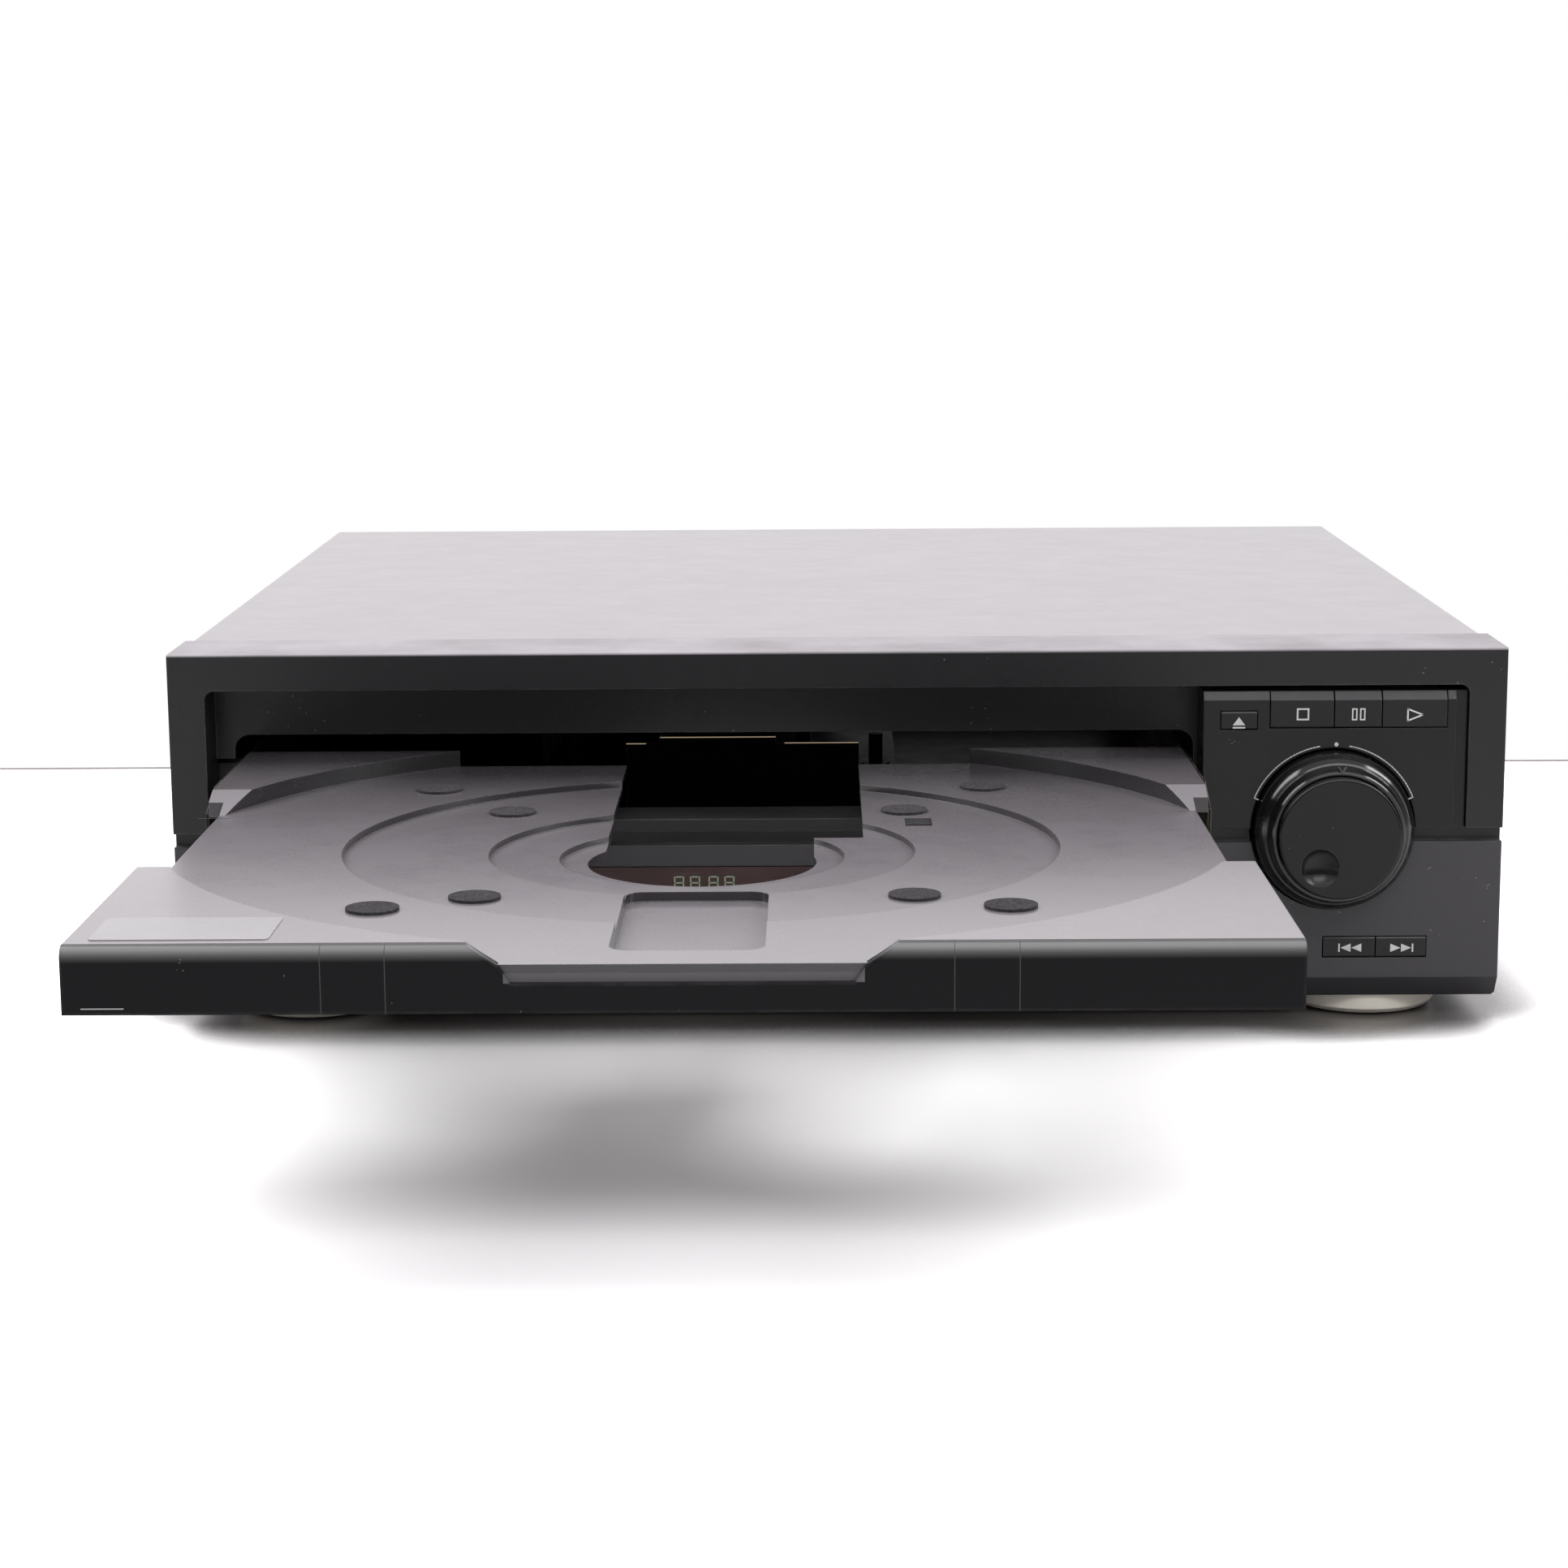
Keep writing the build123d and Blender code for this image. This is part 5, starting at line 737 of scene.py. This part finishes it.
# outlines in mm from each button's lower left corner
SYMBOLS = {
    "open_close": [[(3.6, 2.8), (7.5, 2.8), (5.55, 5.4)], bar(3.6, 7.5, 1.8, 2.3)],
    "stop": frame_of_bars(8.1, 12.0, 3.9, 7.7, STOP_LINE),
    "pause": frame_of_bars(5.3, 7.0, 3.8, 7.6, PAUSE_LINE)
    + frame_of_bars(7.8, 9.5, 3.8, 7.6, PAUSE_LINE),
    "play": stroke([(7.8, 3.6), (7.8, 7.3), (12.5, 5.45), (7.8, 3.6)], PLAY_LINE),
    "skip_back": skip_symbol(4.8, 1, 4.55),
    "skip_forward": skip_symbol(11.9, -1, 4.45),
}
for key, symbol in SYMBOLS.items():
    button = f"{key}_button"
    left, _, foot = low_mm(button)
    placed = [[(left + x, foot + z) for x, z in outline] for outline in symbol]
    face = front_of(button)
    prism(f"{key}_mark", placed, "front", face - PROUD, face + SUNK, button, INK)


# ---------------------------------------------------------- scale of the dial
DIAL_X = (low_mm("jog_dial")[0] + high_mm("jog_dial")[0]) / 2
DIAL_Z = (low_mm("jog_dial")[2] + high_mm("jog_dial")[2]) / 2
MARK_X = DIAL_X + 0.5
SCALE_RADIUS, HOOK_RADIUS = 26.9, 25.5
SCALE_LINE = 0.35
SCALE_SPANS = ((22, 80), (100, 158))
HOOK_ANGLES = (22, 158)
ARC_STEPS = 24
DOT_UP, DOT_RADIUS, DOT_STEPS = 27.1, 0.65, 20
RING_MARK_UP, RING_MARK_TIP, RING_MARK_HALF = 22.1, 20.4, 1.1


def on_dial(radius, angle):
    """A point at a distance from the dial's middle, by its angle in degrees."""
    turn = math.radians(angle)
    return (DIAL_X + radius * math.cos(turn), DIAL_Z + radius * math.sin(turn))


def circle(x, z, radius, count):
    turns = [2 * math.pi * i / count for i in range(count)]
    return [(x + radius * math.cos(turn), z + radius * math.sin(turn)) for turn in turns]


scale = []
for begin, end in SCALE_SPANS:
    angles = [begin + (end - begin) * i / ARC_STEPS for i in range(ARC_STEPS + 1)]
    scale += stroke([on_dial(SCALE_RADIUS, angle) for angle in angles], SCALE_LINE)
for angle in HOOK_ANGLES:
    scale += stroke([on_dial(SCALE_RADIUS, angle), on_dial(HOOK_RADIUS, angle)], SCALE_LINE)
scale.append(circle(MARK_X, DIAL_Z + DOT_UP, DOT_RADIUS, DOT_STEPS))
plate_face = front_of("control_plate")
prism(
    "dial_arcs", scale, "front", plate_face - PROUD, plate_face + SUNK, "case", INK,
)

ring_face = front_of("shuttle_ring")
ring_mark = [
    (MARK_X - RING_MARK_HALF, DIAL_Z + RING_MARK_UP),
    (MARK_X, DIAL_Z + RING_MARK_TIP),
    (MARK_X + RING_MARK_HALF, DIAL_Z + RING_MARK_UP),
]
prism(
    "ring_mark", stroke(ring_mark, SCALE_LINE), "front", ring_face - 0.01, ring_face + 1.2,
    "shuttle_ring", FAINT,
)

# --------------------------------------------------------- figures on the tube
FIGURE_WIDTH, FIGURE_HEIGHT, FIGURE_LINE = 3.2, 4.3, 0.42
FIGURE_LEFT, FIGURE_UP = 26.0, 10.2
FIGURE_PITCH, FIGURE_PAIR_GAP = 5.1, 0.8


def figure(x, z):
    """The seven bars of one figure, all lit."""
    line, gap = FIGURE_LINE, FIGURE_LINE * 0.35
    right, top, middle = x + FIGURE_WIDTH, z + FIGURE_HEIGHT, z + FIGURE_HEIGHT / 2
    levels = [(z, z + line), (middle - line / 2, middle + line / 2), (top - line, top)]
    halves = [(z + gap, middle - gap), (middle + gap, top - gap)]
    bars = [bar(x + gap + line, right - gap - line, low, high) for low, high in levels]
    for low, high in halves:
        bars.append(bar(x, x + line, low, high))
        bars.append(bar(right - line, right, low, high))
    return bars


tube_left, _, tube_foot = low_mm("display_tube")
tube_face = front_of("display_tube")
figures = []
for index in range(4):
    pair_gap = FIGURE_PAIR_GAP if index > 1 else 0
    figure_x = tube_left + FIGURE_LEFT + index * FIGURE_PITCH + pair_gap
    figures += figure(figure_x, tube_foot + FIGURE_UP)
prism(
    "display_figures", figures, "front", tube_face - 0.05, tube_face + SUNK, "case", GLOW,
)

# ------------------------------------------------- score lines and glowing sheared edge
TRAY_SCORES = [bar(-185.0, -175.8, -88.2, -87.9), bar(98.0, 107.0, -85.7, -85.4)]
tray_top = high_mm("tray")[2]
prism(
    "tray_scores", TRAY_SCORES, "top", tray_top - 0.05, tray_top + 0.02, "tray", SCORE,
)

# the upright sheet's stepped top edge, a glowing bronze strip as painted highlight: left, right
# and top of each bright stretch
SHEET_DEPTH, GLOWING_LINE = 125.0, 0.33
GLOWING_STRETCHES = ((-73.4, -66.4, 69.78), (-61.4, -20.6, 71.98), (-17.4, 8.7, 69.78))
prism(
    "glowing_sheared_edge",
    [bar(left, right, top - GLOWING_LINE, top) for left, right, top in GLOWING_STRETCHES],
    "front", SHEET_DEPTH - 0.06, SHEET_DEPTH + 0.02, "case", EDGE_GLOW,
)

# ------------------------------------------------------- coloured jack collars
JACKS, JACK_PITCH = 6, 17.0
JACK_INSET, JACK_DROP = 12.0, 8.0
COLLAR_INNER, COLLAR_OUTER = 4.3, 5.9
COLLAR_LENGTH, COLLAR_STEPS = 1.2, 32

first_jack = low_mm("rear_jacks")[0] + JACK_INSET
jack_z = high_mm("rear_jacks")[2] - JACK_DROP
rear_depth = high_mm("rear_panel")[1] - PANEL_Y
for number in range(JACKS):
    jack_x = first_jack + JACK_PITCH * number
    outer = circle(jack_x, jack_z, COLLAR_OUTER, COLLAR_STEPS)
    inner = circle(jack_x, jack_z, COLLAR_INNER, COLLAR_STEPS)
    collar = []
    for i in range(COLLAR_STEPS):
        j = (i + 1) % COLLAR_STEPS
        collar.append([outer[i], outer[j], inner[j], inner[i]])
    prism(
        f"jack_collar_{number + 1}", collar, "front", rear_depth - 0.02,
        rear_depth + COLLAR_LENGTH, "case", COLLAR_FINISHES[number % 3],
    )

# ------------------------------------------------------------------ the studio
FLOOR_LEFT, FLOOR_RIGHT, FLOOR_NEAR, FLOOR_FAR = -6, 6, -4, 0.404
EDGE_Y, EDGE_HIGH = 0.4035, 0.0007


def floor_finish():
    """A white board with a painted contact shadow close to the object; the camera sees it twice as
    bright.
    """
    tree = material_tree("floor_white")
    broad = tree.noise(2.2, 3.0)
    fine = tree.noise(420.0, 3.0)
    colour = tree.mix(tree.ramp(broad, 0.3, 0.7), (0.90, 0.89, 0.90, 1), (0.93, 0.925, 0.92, 1))
    mark = tree.ramp(tree.noise(16.0, 6.0, rough=0.75), 0.765, 0.80, 0.0, 0.35)
    colour = tree.mix(mark, colour, (0.45, 0.40, 0.36, 1))
    # painted contact shadow where ambient occlusion finds the object close
    contact_shade = tree.add("ShaderNodeAmbientOcclusion", {"Distance": 0.045}, samples=8)
    unshaded_floor = tree.ramp(contact_shade.outputs["AO"], 0.66, 0.90)
    colour = tree.mix(unshaded_floor, (0.05, 0.047, 0.045, 1), colour)
    board = tree.add(
        "ShaderNodeBsdfPrincipled",
        {
            "Base Color": colour,
            "Roughness": tree.ramp(broad, 0.3, 0.7, 0.32, 0.42),
            "Normal": tree.bump(fine, 0.00002, 0.4),
            "IOR": 1.45,
        },
    ).outputs["BSDF"]
    doubled = tree.add("ShaderNodeAddShader", {0: board, 1: board}).outputs[0]
    seen = tree.add("ShaderNodeLightPath").outputs["Is Camera Ray"]
    return tree.finish(tree.blend(seen, board, doubled))


def quad(name, corners, finish):
    mesh = bpy.data.meshes.new(name)
    mesh.from_pydata(corners, [], [[0, 1, 2, 3]])
    mesh.materials.append(finish)
    obj = bpy.data.objects.new(name, mesh)
    bpy.context.scene.collection.objects.link(obj)


quad(
    "floor",
    [
        (FLOOR_LEFT, FLOOR_NEAR, 0),
        (FLOOR_RIGHT, FLOOR_NEAR, 0),
        (FLOOR_RIGHT, FLOOR_FAR, 0),
        (FLOOR_LEFT, FLOOR_FAR, 0),
    ],
    floor_finish(),
)
quad(
    "floor_edge",
    [
        (FLOOR_LEFT, EDGE_Y, 0),
        (FLOOR_RIGHT, EDGE_Y, 0),
        (FLOOR_RIGHT, EDGE_Y, EDGE_HIGH),
        (FLOOR_LEFT, EDGE_Y, EDGE_HIGH),
    ],
    print_finish("board_edge", (0.46, 0.42, 0.40), 0.7),
)


def studio_world():
    """White for the camera; mirrored, a bright wall behind and a dark room in front."""
    world = bpy.data.worlds.new("studio")
    sky = Tree(world, "ShaderNodeOutputWorld", "Generated")
    ray = sky.add("ShaderNodeLightPath").outputs
    behind, above = sky.axis(sky.place, "Y"), sky.axis(sky.place, "Z")
    mirrored = sky.ramp(behind, -0.30, 0.15, 0.10, 1.0)
    mirrored = sky.ramp(above, 0.45, 0.85, mirrored, 0.5)
    spread = sky.ramp(behind, -0.6, 0.6, 0.62, 0.42)
    level = sky.ramp(ray["Is Glossy Ray"], 0.0, 1.0, spread, mirrored)
    around = sky.add("ShaderNodeBackground", {"Color": (1.0, 0.975, 1.0, 1), "Strength": level})
    plain = sky.add("ShaderNodeBackground", {"Color": (1, 1, 1, 1), "Strength": 1.0})
    return sky.finish(sky.blend(ray["Is Camera Ray"], around.outputs[0], plain.outputs[0]))


def lamp(name, at, look, size, power):
    """A rectangular lamp that faces one point."""
    data = bpy.data.lights.new(name, "AREA")
    data.shape = "RECTANGLE"
    data.size, data.size_y = size
    data.energy = power
    obj = bpy.data.objects.new(name, data)
    bpy.context.scene.collection.objects.link(obj)
    obj.location = at
    obj.rotation_mode = "QUATERNION"
    obj.rotation_quaternion = (Vector(look) - Vector(at)).to_track_quat("-Z", "Y")


scene = bpy.context.scene
scene.view_settings.view_transform = "Standard"
scene.world = studio_world()
lamp("left", (-0.75, 0.15, 0.95), (0.02, -0.1, 0.05), (0.8, 0.8), 9)
lamp("right", (1.0, -0.10, 0.85), (0.0, -0.1, 0.05), (0.5, 0.5), 5)
lamp("brow", (0.39, -1.18, 1.22), (0.12, -0.07, 0.10), (1.5, 0.6), 9)

# ------------------------------------------------------------------ the camera
PITCH, YAW, ROLL = math.radians(10.49), -0.0095, -0.0071
CAMERA_X, CAMERA_DEPTH, CAMERA_Z = -6.94, -1011.99, 265.39
LENS, SENSOR = 74.98, 36

forward = Vector(
    (math.sin(YAW) * math.cos(PITCH), math.cos(YAW) * math.cos(PITCH), -math.sin(PITCH))
)
level_right = Vector((math.cos(YAW), -math.sin(YAW), 0))
level_up = level_right.cross(forward)
right = level_right * math.cos(ROLL) + level_up * math.sin(ROLL)
up = level_up * math.cos(ROLL) - level_right * math.sin(ROLL)
camera_data = bpy.data.cameras.new("camera")
camera_data.lens = LENS
camera_data.sensor_width = SENSOR
camera_data.clip_start = 0.01
camera_data.clip_end = 50
camera = bpy.data.objects.new("camera", camera_data)
scene.collection.objects.link(camera)
turn = Matrix((right, up, -forward)).transposed()
place = Matrix.Translation(Vector((CAMERA_X, PANEL_Y + CAMERA_DEPTH, CAMERA_Z)) / 1000)
camera.matrix_world = place @ turn.to_4x4()
scene.camera = camera
